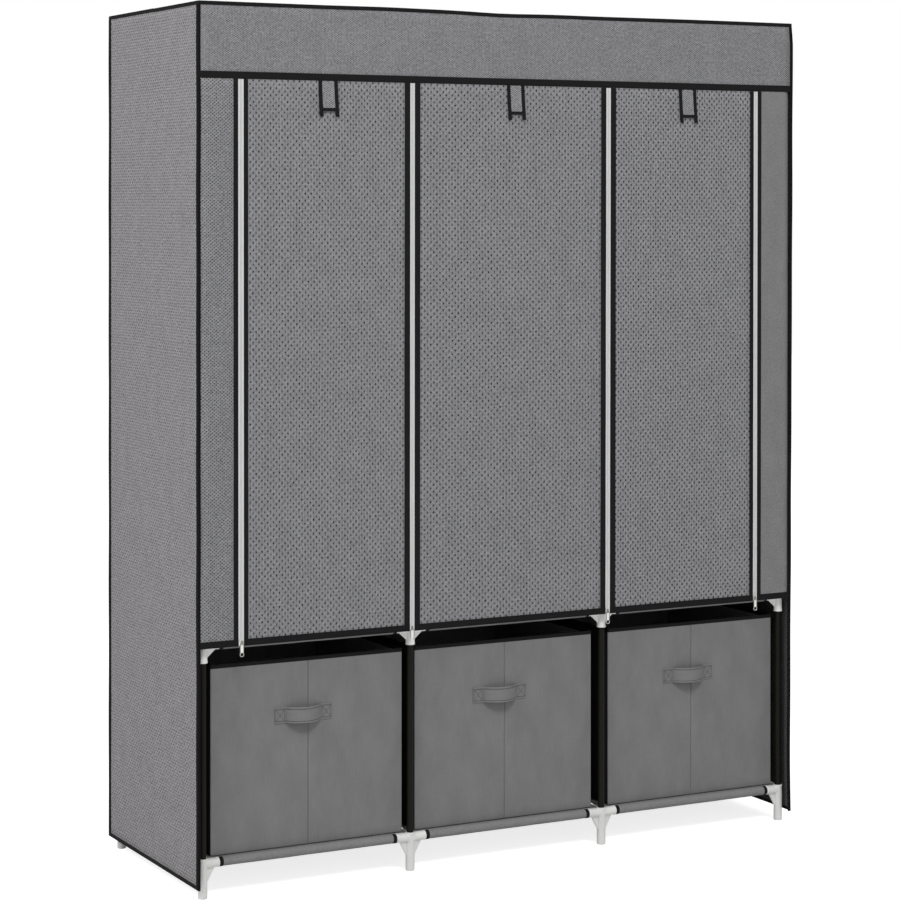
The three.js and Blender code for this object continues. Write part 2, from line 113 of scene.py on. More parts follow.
class Value:
    """One socket of a finish. Its operators add the Math nodes that work them out."""

    def __init__(self, finish, socket):
        self.finish = finish
        self.socket = socket

    def also(self, output):
        return Value(self.finish, self.socket.node.outputs[output])

    __add__ = operator("ADD")
    __radd__ = operator("ADD", reflected=True)
    __sub__ = operator("SUBTRACT")
    __rsub__ = operator("SUBTRACT", reflected=True)
    __mul__ = operator("MULTIPLY")
    __rmul__ = operator("MULTIPLY", reflected=True)
    cos = operator("COSINE")
    highest = operator("MAXIMUM")


class Finish:
    """The nodes of a new material, or of a world. mix() blends two colours, end() closes a material."""

    def __init__(self, name, make=None):
        self.owner = (make or bpy.data.materials.new)(name)
        self.owner.use_nodes = True
        self.tree = self.owner.node_tree
        self.tree.nodes.clear()

    def node(self, kind, settings=None, inputs=None, output=0):
        node = self.tree.nodes.new(kind)
        for name, value in (settings or {}).items():
            setattr(node, name, value)
        for name, value in (inputs or {}).items():
            if isinstance(value, Value):
                self.tree.links.new(value.socket, node.inputs[name])
            else:
                node.inputs[name].default_value = value
        return Value(self, node.outputs[output]) if len(node.outputs) else None

    def place(self, output="UV"):
        return self.node("ShaderNodeTexCoord", output=output)

    def noise(self, where, scale, detail=2.0, stretch=(1, 1, 1)):
        stretched = self.node("ShaderNodeMapping", {}, {"Vector": where, "Scale": stretch})
        return self.node("ShaderNodeTexNoise", {}, {"Vector": stretched, "Scale": scale, "Detail": detail})

    def mix(self, factor, first, second):
        settings = {"data_type": "RGBA", "clamp_factor": True}
        return self.node("ShaderNodeMix", settings, {0: factor, 6: first, 7: second}, output=2)

    def end(self, colour, roughness, height, relief, specular=0.5, metallic=0.0, strength=1.0):
        bump = self.node("ShaderNodeBump", {}, {"Height": height, "Distance": relief, "Strength": strength})
        inputs = {"Base Color": colour, "Roughness": roughness, "Metallic": metallic, "Normal": bump,
                  "Specular IOR Level": specular}
        shader = self.node("ShaderNodeBsdfPrincipled", {}, inputs)
        self.node("ShaderNodeOutputMaterial", {}, {"Surface": shader})
        return self.owner


def ink(*levels):
    """A colour picked as 0 to 255 on the screen, or one level of grey, as a shader's linear colour."""
    screen = np.array(levels * 3 if len(levels) == 1 else levels) / 255
    linear = np.where(screen > 0.04045, ((screen + 0.055) / 1.055) ** 2.4, screen / 12.92)
    return (*linear.tolist(), 1.0)

# %% [markdown]
# ## The cloth
# The cover is spun cloth, pressed with a lattice of small dimples: one at every corner and one in the
# middle of each cell. The product of two cosines is 1 at exactly those points, so a smooth step of it
# gives a round dot. Slanting ridges, rows and columns run between the dots, each with its own strength,
# and a slow noise makes them wander a little, as in real cloth. Three more noises add fibres, flecks and
# a mottle.

# %% Cloth finishes
FIBRE_SCALE, FIBRE_SHADE = 900, 0.5
FLECK_SCALE, FLECK_SHADE = 210, 1.6
MOTTLE_SCALE, MOTTLE_SHADE = 30, 0.5
SHADE_RANGE = 0.3
WANDER = 3.5 * MM
DIMPLE_RELIEF = 0.25 * MM
CLOTH_SPECULAR = 0.08
TAPE_SPECULAR = 0.06


def shaded(colour, factor):
    """A colour made lighter or darker by a factor."""
    return tuple(min(1, level * factor) for level in colour[:3]) + (1.0,)


def dimpled_cloth(name, colour, dot, cell, start, strength, flecks=1.4, twill=0.04, rows=0, columns=0):
    """dots = smoothstep of cos(2 pi u / width) * cos(2 pi v / height) from start to 1, u and v in metres,
    and ridges = -cos(2 pi (u / width - v / height)), halfway between the slanting lines of dots."""
    cloth = Finish(name)
    where = cloth.place()
    across = cloth.node("ShaderNodeSeparateXYZ", {}, {"Vector": where})
    up = across.also("Y") + (cloth.noise(where, 9, 1, (1, 0.8, 1)) - 0.5) * WANDER
    across = across + (cloth.noise(where, 11, 1) - 0.5) * WANDER
    turn_across = across * (FULL_TURN / cell[0])
    turn_up = up * (FULL_TURN / cell[1])
    lattice = turn_across.cos() * turn_up.cos()
    ridges = (turn_across - turn_up).cos() * -1
    steps = {"interpolation_type": "SMOOTHSTEP", "clamp": True}
    dots = cloth.node("ShaderNodeMapRange", steps, {"Value": lattice, "From Min": start, "From Max": 1.0})
    fibres = cloth.noise(where, FIBRE_SCALE, 2)
    specks = cloth.noise(where, FLECK_SCALE, 2)
    mottle = cloth.noise(where, MOTTLE_SCALE, 3, (1, 0.6, 1))
    shade = (fibres - 0.5) * FIBRE_SHADE + (specks - 0.5) * (FLECK_SHADE * flecks)
    shade = shade + (mottle - 0.5) * MOTTLE_SHADE + ridges * mottle * (2 * twill)
    shade = shade - (turn_up * 2).cos() * rows - (turn_across * 2).cos() * columns
    plain = cloth.mix(shade + 0.5, shaded(colour, 1 - SHADE_RANGE), shaded(colour, 1 + SHADE_RANGE))
    depth = cloth.noise(where, 95, 1) * 2 + 0.05
    return cloth.end(cloth.mix(dots * depth * strength, plain, dot), 0.95 - dots * 0.08,
                     fibres * 0.25 + ridges * twill - dots, DIMPLE_RELIEF, CLOTH_SPECULAR, strength=0.8)


OUTER_DOOR = (12.4 * MM, 13.9 * MM)
MIDDLE_DOOR = (14.05 * MM, 13.9 * MM)
HEADER = (6.45 * MM, 4.33 * MM)
STRIP = (7.95 * MM, 6.6 * MM)
SIDE = (11.5 * MM, 11.75 * MM)
DOOR_LINES = {"rows": -0.08, "columns": 0.1}
grey = ink(128, 128, 130)
light_grey = ink(130, 130, 132)
dimple = ink(24)
door_cloths = (
    dimpled_cloth("left door cloth", grey, dimple, OUTER_DOOR, 0.3, 0.85, **DOOR_LINES),
    dimpled_cloth("middle door cloth", grey, dimple, MIDDLE_DOOR, 0.3, 0.85, **DOOR_LINES),
    dimpled_cloth("right door cloth", light_grey, dimple, OUTER_DOOR, 0.25, 0.96, 1.65, **DOOR_LINES),
)
header_cloth = dimpled_cloth("header cloth", ink(131, 131, 133), dimple, HEADER, 0.0, 0.75, 1.3)
strip_cloth = dimpled_cloth("strip cloth", light_grey, dimple, STRIP, 0.0, 0.8, 1.4, 0.1)
plain_strip_cloth = dimpled_cloth("plain strip cloth", ink(121, 121, 122), ink(107), STRIP, 0.0, 0.1, 0.55, 0)
# The side cloth is lighter than the front's grey; part of that is painted light from the left, and the back
# and the top share it.
side_cloth = dimpled_cloth("side cloth", ink(143, 141, 143), dimple, SIDE, 0.2, 0.5, 1.6, rows=0.13)
shelf_cloth = dimpled_cloth("shelf cloth", ink(128, 127, 127), ink(112), (4 * MM, 4 * MM), 0.0, 0.5, 0.5, 0)
# The inside of the cover's panels and doors is a much darker grey than the outside: painted shade.
inside_cloth_painted_shade = dimpled_cloth("inside of the cloth", ink(84, 83, 83), dimple, SIDE, 0.2, 0.9, 1.0, 0.1)
strap_cloth = dimpled_cloth("strap cloth", ink(137, 137, 139), ink(30), HEADER, -0.1, 0.8, 1.5, 0.3)


def woven_tape(name, colour, rib, roughness):
    """A narrow tape: ribs across it, cos(2 pi v / rib), and fainter wales along it, cos(2 pi u / rib)."""
    tape = Finish(name)
    where = tape.place()
    across = tape.node("ShaderNodeSeparateXYZ", {}, {"Vector": where})
    ribs = (across.also("Y") * (FULL_TURN / rib)).cos()
    wales = (across * (FULL_TURN / rib)).cos()
    fuzz = tape.noise(where, 1200, 2)
    shade = tape.mix(ribs * 0.2 + wales * 0.12 + fuzz, shaded(colour, 0.7), shaded(colour, 1.35))
    relief = ribs * 0.4 + wales * 0.3 + fuzz
    return tape.end(shade, roughness + (fuzz - 0.5) * 0.2, relief, 0.12 * MM, TAPE_SPECULAR)


binding_cloth = woven_tape("black binding", ink(26, 26, 27), 1.4 * MM, 0.85)
corner_cloth = woven_tape("corner binding", ink(20, 19, 20), 1.4 * MM, 0.9)
zip_tape_cloth = woven_tape("white zip tape", ink(208, 208, 207), 1.1 * MM, 0.8)
print("cloth finishes made:", len(bpy.data.materials))

# %% [markdown]
# ## Plastic, steel and metal
# The connectors are white injection mouldings with a faint grain, the tubes have a black baked coat with
# a soft sheen, and the zip hardware is bright plated metal with fine scratches. The joints, caps and tees
# have a lighter copy of the white, as painted light, and the sliders' arches and the tabs' legs, bars and
# necks a darker copy of the metal, as painted shade.

# %% Hard finishes
def moulded_plastic(name, colour, roughness=0.42):
    plastic = Finish(name)
    where = plastic.place("Object")
    grain = plastic.noise(where, 1400, 2)
    cloud = plastic.noise(where, 60, 2)
    shade = plastic.mix(cloud, shaded(colour, 0.93), colour)
    return plastic.end(shade, roughness + (cloud - 0.5) * 0.12, grain, 0.05 * MM, 0.35)


def coated_steel(name, colour, roughness):
    steel = Finish(name)
    where = steel.place("Object")
    peel = steel.noise(where, 260, 2)
    smears = steel.noise(where, 30, 3, (1, 1, 0.15))
    shade = steel.mix(smears, colour, shaded(colour, 1.6))
    return steel.end(shade, roughness + (smears - 0.5) * 0.2, peel, 0.06 * MM, 0.06)


def plated_metal(name, colour, roughness=0.4):
    metal = Finish(name)
    scratches = metal.noise(metal.place("Object"), 900, 3, (1, 1, 0.2))
    shade = metal.mix(scratches, shaded(colour, 0.8), colour)
    return metal.end(shade, roughness + (scratches - 0.5) * 0.2, scratches, 0.03 * MM, metallic=1.0)


foot_plastic = moulded_plastic("white plastic of the feet", ink(219, 219, 217))
# The joints' white is a lighter copy of the feet's plastic: painted light where the doors' hem shades them.
# The top caps and tees share it.
joint_plastic_painted_lighter = moulded_plastic("white plastic of the joints", ink(237, 237, 235))
coil_plastic = moulded_plastic("white coil", ink(207, 207, 209), 0.5)
black_steel = coated_steel("black coated steel", ink(20, 19, 16), 0.4)
slider_metal = plated_metal("slider metal", ink(214, 214, 211), 0.45)
shine_metal = plated_metal("bright tab metal", ink(204, 204, 200))
eye_metal = plated_metal("tab eye metal", ink(205, 205, 201))
# A darker copy of the zip metal for the sliders' arches and the tabs' legs, bars and necks: painted shade.
zip_metal_painted_shade = plated_metal("dull zip metal", ink(132, 131, 128))

# %% [markdown]
# ## The boxes' cloth
# The boxes' fronts have a plainer cloth: long uneven threads run down it, so the noise is stretched
# along the height. Their other sides are black, and the lining is grey.

# %% Box finishes
def slubbed_cloth(name, colour, contrast=0.2):
    cloth = Finish(name)
    where = cloth.place()
    threads = cloth.noise(where, 420, 3, (1, 0.08, 1))
    picks = cloth.noise(where, 420, 3, (0.08, 1, 1))
    cloud = cloth.noise(where, 26, 4, (1, 0.45, 1))
    shade = (threads - 0.5) * 0.5 + (picks - 0.5) * 0.35 + (cloud - 0.5) * 0.9 + 0.5
    shade = cloth.mix(shade, shaded(colour, 1 - contrast), shaded(colour, 1 + contrast))
    return cloth.end(shade, 0.95, threads * 0.5 + picks * 0.5, 0.12 * MM, CLOTH_SPECULAR)


box_cloth = slubbed_cloth("box cloth", ink(119, 119, 120))
box_side_cloth = slubbed_cloth("box side cloth", ink(34, 34, 35))
lining_cloth = slubbed_cloth("box lining", ink(128))
# The thread is dark; along the handles' loops it also paints the shade of the grooves.
thread = slubbed_cloth("sewing thread", ink(70, 70, 71), 0.15)

# %% [markdown]
# ## Surfaces on a grid
# Every new piece is a set of surfaces. A surface is a grid of points, worked out as one array from two
# parameters, with a UV in metres beside each point. Where a surface closes on itself its first and last
# points coincide and are welded, and a pole is a row of equal points.

# %% From grids to a piece
WELD = 2e-6


def stacked(*parts):
    """Coordinates side by side along a new last axis. A single number is repeated."""
    return np.stack(np.broadcast_arrays(*parts), axis=-1)


def grid_faces(rows, columns, first):
    """The quads of a grid: corner (r, c) joins (r, c + 1), (r + 1, c + 1) and (r + 1, c)."""
    index = first + np.arange(rows * columns).reshape(rows, columns)
    quads = [index[:-1, :-1], index[:-1, 1:], index[1:, 1:], index[1:, :-1]]
    return stacked(*quads).reshape(-1, 4)


def grid_uv(points, measure=np.mean):
    """A UV of lengths: along the rows, and down the columns, from the first point of each."""
    across = measure(np.linalg.norm(np.diff(points, axis=1), axis=2), axis=0)
    down = measure(np.linalg.norm(np.diff(points, axis=0), axis=2), axis=1)
    lengths = [np.concatenate([[0], steps.cumsum()]) for steps in (across, down)]
    return stacked(*np.meshgrid(*lengths))


def finished(material, *grids, move=None):
    """The surfaces of grids that share a finish, each moved first if a move is given."""
    return [(move(grid) if move else grid, None, material) for grid in grids]


def joined(name, grids):
    """A mesh of several grids, and the quads of each."""
    faces, count = [], 0
    for grid in grids:
        faces.append(grid_faces(*grid.shape[:2], count))
        count += grid.shape[0] * grid.shape[1]
    points = np.concatenate([grid.reshape(-1, 3) for grid in grids])
    mesh = bpy.data.meshes.new(name)
    mesh.from_pydata(points.tolist(), [], np.concatenate(faces).tolist())
    return mesh, faces


def piece(name, surfaces, body, replaced=(), closed=True):
    """One object from (points, uv, material) surfaces, welded. Without a UV a surface gets grid_uv's."""
    grids, uvs, finishes = zip(*surfaces)
    mesh, faces = joined(name, grids)
    uvs = [(grid_uv(grid) if uv is None else uv).reshape(-1, 2) for grid, uv in zip(grids, uvs)]
    materials = list(dict.fromkeys(finishes))
    slots = [np.full(len(quads), materials.index(finish)) for quads, finish in zip(faces, finishes)]
    layer = mesh.uv_layers.new(name="UVMap")
    corner_uvs = np.concatenate(uvs)[np.concatenate(faces).ravel()]
    layer.data.foreach_set("uv", corner_uvs.astype(np.float32).ravel())
    mesh.polygons.foreach_set("material_index", np.concatenate(slots).astype(np.int32))
    for material in materials:
        mesh.materials.append(material)
    weld(mesh, closed)
    return dress(name, mesh, body, replaced)


def weld(mesh, closed):
    """Merges seams and poles, drops faces that shrank to nothing, and turns a closed shell outwards."""
    shell = bmesh.new()
    shell.from_mesh(mesh)
    bmesh.ops.remove_doubles(shell, verts=shell.verts, dist=WELD)
    bmesh.ops.dissolve_degenerate(shell, edges=shell.edges, dist=WELD / 2)
    if closed:
        bmesh.ops.recalc_face_normals(shell, faces=shell.faces)
    shell.to_mesh(mesh)
    shell.free()


def added(name, data):
    """A new object of the scene for a mesh, a lamp or a camera."""
    made = bpy.data.objects.new(name, data)
    bpy.context.scene.collection.objects.link(made)
    return made


def dress(name, mesh, body, replaced=(), angle=40):
    """Links a mesh, smooth below an angle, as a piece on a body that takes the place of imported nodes."""
    mesh.shade_smooth()
    mesh.set_sharp_from_angle(angle=math.radians(angle))
    made = added(name, mesh)
    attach(made, body)
    if replaced:
        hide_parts(*replaced)
    return made

# %% [markdown]
# ## Sections carried along a path
# A binding, a tape, a tube or a strap is a closed outline carried along a line. Each end closes over a
# few shrinking copies of the outline, which also rounds it.

# %% Carried sections
def carried(section, path, across, out, round_end=0.0, open_ends=False):
    """point = path + a * across + b * out for each (a, b) of the section, with rounded ends."""
    section = np.asarray(section, float)
    path = np.asarray(path, float)
    across = np.broadcast_to(np.asarray(across, float), path.shape)
    out = np.broadcast_to(np.asarray(out, float), path.shape)
    grid = path[:, None] + section[None, :, :1] * across[:, None] + section[None, :, 1:] * out[:, None]
    if open_ends:
        return grid
    centre = section[:-1].mean(axis=0)
    start, stop = [], []
    ends = ((grid[0], path[0], across[0], out[0], path[1] - path[0], start),
            (grid[-1], path[-1], across[-1], out[-1], path[-2] - path[-1], stop))
    for ring, at, side, up, inward, rows in ends:
        pole = at + centre[0] * side + centre[1] * up
        inward = inward / np.linalg.norm(inward) * round_end
        rows.append(np.broadcast_to(pole, ring.shape))
        if round_end:
            for share in (0.45, 0.8):
                lean = 1 - math.sqrt(1 - share ** 2)
                rows.append(pole + (ring - pole) * (0.55 + 0.45 * share) + inward * lean)
            rows.append(ring + inward)
        else:
            rows.append(ring)
    return np.concatenate([np.array(start), grid[1:-1], np.array(stop)[::-1]])


def rounded(width, height, radius, steps=4):
    """A rectangle with round corners, as a closed loop of (a, b) around its centre."""
    turn = np.linspace(0, math.pi / 2, steps + 1)
    loop = []
    for corner, (sign_a, sign_b) in enumerate(((1, 1), (-1, 1), (-1, -1), (1, -1))):
        angle = turn + corner * math.pi / 2
        a = sign_a * (width / 2 - radius) + radius * np.cos(angle)
        b = sign_b * (height / 2 - radius) + radius * np.sin(angle)
        loop.append(stacked(a, b))
    return np.concatenate([*loop, loop[0][:1]])


def circle(radius, sides):
    """A closed loop of (a, b) round a circle."""
    turn = np.linspace(0, FULL_TURN, sides + 1)
    return radius * stacked(np.cos(turn), np.sin(turn))


def folded(width_a, width_b, thickness, radius, steps=5):
    """A tape folded round a corner at (0, 0): one leg along a, the other along b, both inwards."""
    turn = np.linspace(math.pi * 1.5, math.pi, steps + 1)
    bend = stacked(np.cos(turn), np.sin(turn))
    tip = thickness / 4
    return np.concatenate([
        [[width_a - tip, 0]],
        radius + radius * bend,
        [[0, width_b - tip], [tip, width_b], [thickness - tip, width_b], [thickness, width_b - tip]],
        radius + max(radius - thickness, 0.1 * MM) * bend[::-1],
        [[width_a - tip, thickness], [width_a, thickness - tip], [width_a, tip], [width_a - tip, 0]],
    ])


def line(start, end, steps):
    """Evenly spaced points from start to end."""
    return np.linspace(start, end, steps + 1)

# %% [markdown]
# ## Cloth panels
# A panel is a thin sheet held along its edges. A few long sine waves give it the slackness of real
# cloth, and fade out at the edges where bindings hold it. Solidify gives it its thickness inwards, and
# its inner face a darker cloth that paints the shade inside the cover.

# %% Panels
X, Y, Z = np.eye(3)
CLOTH = 1.0 * MM
SLACK = 1.3 * MM
HOLD = 60 * MM


def waves(u, v, seed, longest=0.55):
    """A sum of five sine waves over (u, v) in metres, of falling height, with seeded directions."""
    chance = np.random.default_rng(seed)
    total = np.zeros_like(u)
    for order in range(1, 6):
        angle = chance.uniform(0, math.pi)
        phase = chance.uniform(0, FULL_TURN)
        length = longest / order ** 0.8
        total += np.sin(FULL_TURN * (u * math.cos(angle) + v * math.sin(angle)) / length + phase) / order
    return total / 1.6


def sheet(origin, across, up, width, height, seed, slack=SLACK, step=0.02, turn_back=0.0):
    """point = origin + u * across + v * up + slack * waves * edge, edge falling to 0 at the border.
    Within turn_back of the far edge the cloth also curves away to the back."""
    columns = max(2, round(width / step))
    rows = max(2, round(height / step))
    u, v = np.meshgrid(np.linspace(0, width, columns + 1), np.linspace(0, height, rows + 1))
    edge = np.minimum(np.minimum(u, width - u) / min(HOLD, width / 2), 1)
    edge = edge * np.minimum(np.minimum(v, height - v) / min(HOLD, height / 2), 1)
    lift = slack * waves(u, v, seed) * (edge * edge * (3 - 2 * edge))
    if turn_back:
        lift = lift - turn_back / 2 * np.clip((u - width) / turn_back + 1, 0, 1) ** 2
    normal = np.cross(across, up)
    points = origin + u[..., None] * across + v[..., None] * up + lift[..., None] * normal
    return points, stacked(u, v)


def thicken(made, thickness, inside=None):
    """Gives a sheet its thickness on its inner side, with its own finish there if one is named."""
    solid = made.modifiers.new("cloth thickness", "SOLIDIFY")
    solid.thickness = thickness
    solid.offset = -1
    if inside:
        made.data.materials.append(inside)
        solid.material_offset = 1


def panel(name, place, material, body, slot, replaced, held="stretched", rests_on=(), move=None, **form):
    """A panel of cloth from sheet()'s arguments, thickened inwards."""
    points, uv = sheet(*place[:-1], seed=place[-1], **form)
    points = move(points) if move else points
    made = piece(name, [(points, uv, material)], body, replaced, closed=False)
    thicken(made, CLOTH, inside_cloth_painted_shade)
    return made

# %% [markdown]
# ## Zips that lean
# No zip is sewn in quite straight: each is a millimetre or two off at the top and at the bottom. So the
# front is worked out straight, and a drift then moves its points sideways. At each zip the drift is that
# zip's own, at the cover's edges it is nothing, and in between it fades from one to the next.

# %% The drift of the front
ZIP_HALVES = (5.9 * MM, 5.3 * MM, 5.6 * MM, 5.2 * MM)
ZIP_DRIFTS = ((0.8 * MM, 1.6 * MM), (1.5 * MM, 0.6 * MM), (2.0 * MM, -0.5 * MM), (0.9 * MM, -1.7 * MM))


def drifted(grid):
    """x = x + the drift of the zips near x, each going evenly from its top value to its bottom value."""
    share = np.clip((header_low - grid[..., 2]) / (header_low - door_low), 0, 1)
    knots = [cover_low[0], *zip_x, cover_high[0]]
    moved = grid.copy()
    for index, (top, bottom) in enumerate(ZIP_DRIFTS):
        nearness = np.interp(grid[..., 0], knots, np.eye(len(knots))[index + 1])
        moved[..., 0] += nearness * (top + (bottom - top) * share)
    return moved

# %% [markdown]
# ## The cover
# The cover is a cloth box: two sides, a back and a top, and at the front a header with a narrow strip
# down each side. The panels lie just inside the planes of the bindings, so the bindings stand proud.

# %% Cover panels
PROUD = 0.7 * MM
SEAM = 1.5 * MM
TOP_DIPS = ((2.7 * MM, -0.025, 0.085), (1.3 * MM, 0.19, 0.17), (-0.9 * MM, -0.3, 0.085))
BOW_FADE = 0.15
DIP_FADES = (0.12, 0.03)
TOP_NODES = [f"top_frame_{number}" for number in POSTS]
left_x, left_z = cover_low[0] + PROUD, cover_low[2] + SEAM
right_x, back_y = cover_high[:2] - PROUD
face_y = surround_low[1] + PROUD
back_width, side_width, _ = cover_high - cover_low - 2 * SEAM
side_height = cover_high[2] - SEAM - left_z


def edge_bow(share):
    """How far the right front edge leans out at a share of its height: in near the floor, out at the top."""
    bow = 3.2 * share ** 2 - 56 * share * np.exp(-share / 0.173) - 3 * np.clip(1 - share / 0.36, 0, 1)
    bow = bow + 1.4 * np.exp(-((share - 0.18) / 0.13) ** 2)
    return bow * MM * np.clip((1 - share) / 0.02, 0, 1)


def bowed(grid):
    """x = x + the front edge's bow, which fades out towards the back."""
    share = (grid[..., 2] - cover_low[2]) / (cover_high[2] - cover_low[2])
    near = np.clip(1 - (grid[..., 1] - cover_low[1]) / BOW_FADE, 0, 1) ** 2
    return grid + (edge_bow(np.clip(share, 0, 1)) * near)[..., None] * X


def front_rise(x):
    """How far the top front edge stands above the cover's box at x: a slight tilt, less its dips."""
    rise = 0.2 * MM + 0.7 * MM * (x - cover_low[0]) / (cover_high[0] - cover_low[0])
    for dip, at, spread in TOP_DIPS:
        rise = rise - dip * np.exp(-((x - at) / spread) ** 2)
    return rise


def dipped(grid):
    """z = z + the top front edge's dip, which fades out to the back and down the header."""
    near_front = np.clip(1 - (grid[..., 1] - cover_low[1]) / DIP_FADES[0], 0, 1) ** 2
    near_top = np.clip(1 - (cover_high[2] - grid[..., 2]) / DIP_FADES[1], 0, 1)
    return grid + (np.minimum(front_rise(grid[..., 0]), 0) * near_front * near_top)[..., None] * Z


def cover_panel(name, origin, across, up, width, height, seed, cloth, node, **form):
    """A panel of the cover, which stays with the frame, in the place of a node if one is named."""
    slot = "side_cloth" if name.startswith("side") else "grey_cloth"
    panel(name, (np.array(origin), across, up, width, height, seed), cloth, "frame", slot, node, **form)


in_x, in_y = cover_low[:2] + SEAM
cover_panel("side_panel_left", [left_x, cover_high[1] - SEAM, left_z], -Y, Z, side_width, side_height, 11,
            side_cloth, ["cover_side_left"])
cover_panel("side_panel_right", [right_x, in_y, left_z], Y, Z, side_width, side_height, 12, side_cloth,
            ["cover_side_right"], move=bowed)
cover_panel("back_panel", [cover_high[0] - SEAM, back_y, left_z], -X, Z, back_width, side_height, 13,
            side_cloth, ["cover_back"])
cover_panel("top_panel", [in_x, in_y, cover_high[2] - PROUD], X, Y, back_width, side_width, 14, side_cloth,
            ["cover_top"], rests_on=TOP_NODES, move=dipped)
cover_panel("header_panel", [in_x, face_y, header_low], X, Z, back_width, cover_high[2] - SEAM - header_low,
            15, header_cloth, ["cover_front_surround"], move=dipped)
strip_ends = (zip_x[0] - ZIP_HALVES[0], zip_x[3] + ZIP_HALVES[3])
strip_height = header_low - door_low + 2 * MM
cover_panel("strip_left", [in_x, face_y, door_low], X, Z, strip_ends[0] - cover_low[0] - SEAM,
            strip_height, 16, strip_cloth, [], move=drifted)
cover_panel("strip_right", [strip_ends[1], face_y, door_low], X, Z, cover_high[0] - SEAM - strip_ends[1],
            strip_height, 17, plain_strip_cloth, [], move=drifted, step=0.004, turn_back=22 * MM)
print("cover panels made, sides", side_width.round(4), "x", side_height.round(4))

# %% [markdown]
# ## The cover's bindings
# Black tape is folded over every edge. Round the top it is one loop with mitred corners, down the four
# upright edges it wraps the corner, and along the bottom it is folded over the hem.

# %% Bindings of the cover
TAPE = 1.4 * MM
TOP_WIDTH = 8 * MM
SIDE_WIDTH = 12 * MM
REAR_WIDTH = 15 * MM
LEFT_WIDTH = 4.8 * MM
RIGHT_WIDTH = 8.2 * MM
HEM = 8 * MM
HEM_THICKNESS = 2.2 * MM
MITRE = 9 * MM
CORNER = 0.6 * MM
SWAY = 0.15 * MM


def mitred_rim(low, high, steps=40):
    """A rectangle as a path, with the inward direction at each point, doubled up at its corners."""
    around = np.array([(low[0], low[1]), (high[0], low[1]), (high[0], high[1]), (low[0], high[1])])
    path, inward = [], []
    for here, after, before in zip(around, np.roll(around, -1, axis=0), np.roll(around, 1, axis=0)):
        ahead = (after - here) / np.linalg.norm(after - here)
        behind = (before - here) / np.linalg.norm(before - here)
        path.append(here + CORNER * (ahead + behind))
        inward.append((ahead + behind) * (1 - CORNER / TOP_WIDTH))
        path.extend(line(here + MITRE * ahead, after - MITRE * ahead, steps))
        inward.extend([np.array([-ahead[1], ahead[0]])] * (steps + 1))
    return np.array(path + path[:1]), np.array(inward + inward[:1])


rim_path, rim_inward = mitred_rim(cover_low[:2], cover_high[:2])
rim_z = cover_high[2] + np.where(rim_path[:, 1] < 0, front_rise(rim_path[:, 0]), 0.8 * MM)
rim_path = np.column_stack([rim_path, rim_z])
rim_inward = np.column_stack([rim_inward, np.zeros(len(rim_inward))])
rim = carried(folded(TOP_WIDTH, TOP_WIDTH, TAPE, 1.6 * MM), rim_path, rim_inward, -Z, open_ends=True)
piece("top_binding", finished(binding_cloth, rim), "frame")

upright_edges = {
    "front_left": ((cover_low[0], cover_low[1]), X, Y, LEFT_WIDTH, SIDE_WIDTH),
    "front_right": ((cover_high[0], cover_low[1]), -X, Y, RIGHT_WIDTH, SIDE_WIDTH),
    "rear_left": ((cover_low[0], cover_high[1]), X, -Y, SIDE_WIDTH, REAR_WIDTH),
    "rear_right": ((cover_high[0], cover_high[1]), -X, -Y, SIDE_WIDTH, SIDE_WIDTH),
}
for edge, (corner, along_a, along_b, width_a, width_b) in upright_edges.items():
    path = line([*corner, cover_low[2]], [*corner, cover_high[2] - TOP_WIDTH + 1 * MM], 90)
    path[:, :2] += 0.25 * MM * np.sin(path[:, 2:] * np.array([23.0, 17.0]) + width_a * 900)
    path[[0, -1], :2] = corner
    if edge == "front_right":
        path[:, 0] += edge_bow(np.linspace(0, 1, len(path)))
    grid = carried(folded(width_a, width_b, TAPE, 1.8 * MM), path, along_a, along_b, round_end=0.4 * MM)
    piece(f"corner_binding_{edge}", finished(corner_cloth, grid), "frame")


def flat_tape(start, end, across, out, width, thickness, steps=60, sway=0.0):
    """A flat tape of rounded section from start to end, which may sway slightly to and fro."""
    path = line(start, end, steps)
    along = np.linspace(0, np.linalg.norm(np.subtract(end, start)), steps + 1)
    hold = np.sin(np.linspace(0, math.pi, steps + 1)) ** 0.5
    path = path + (sway * hold * np.sin(along * 19 + width * 400))[:, None] * np.asarray(out)
    section = rounded(width, thickness, min(thickness, width) * 0.48)
    return carried(section, path, across, out, round_end=0.4 * MM)


hem_low, hem_high = (np.array([*end, cover_low[2] + HEM / 2])
                     for end in (cover_low[:2] + 2 * MM, cover_high[:2] - 2 * MM))
left_hem, right_hem = (flat_tape([x, *hem_low[1:]], [x, *hem_high[1:]], Z, X, HEM, HEM_THICKNESS, sway=SWAY)
                       for x in (left_x, right_x))
back_hem = flat_tape([hem_low[0], back_y, hem_low[2]], [hem_high[0], back_y, hem_low[2]], Z, Y, HEM,
                     HEM_THICKNESS, sway=SWAY)
piece("bottom_hems", finished(binding_cloth, left_hem, bowed(right_hem), back_hem), "frame")

# %% [markdown]
# ## Bindings of the front
# A wide band closes the header. Each strip has a hem below and a binding beside its zip. All of them
# straddle the cloth, 0.7 mm proud in front.

# %% Bindings of the header and strips
BAND = 14.2 * MM
DOOR_HEM = 13.4 * MM
ZIP_BINDINGS = ((10.0 * MM, 9.2 * MM), (13.0 * MM, 12.4 * MM), (13.0 * MM, 13.0 * MM), (10.0 * MM, 9.8 * MM))
band_thickness = surround_high[1] - surround_low[1]
band_y = (surround_low[1] + surround_high[1]) / 2
tape_low = door_low + 0.2 * MM


def front_band(x0, x1, z, height, steps=70):
    """A level band of the front, z being its middle."""
    return flat_tape([x0, band_y, z], [x1, band_y, z], Z, -Y, height, band_thickness, steps, SWAY)


def front_post(x, z1, width, steps=70):
    """An upright band of the front from the doors' foot to z1, x being its middle."""
    return flat_tape([x, band_y, tape_low], [x, band_y, z1], X, -Y, width, band_thickness, steps, SWAY)


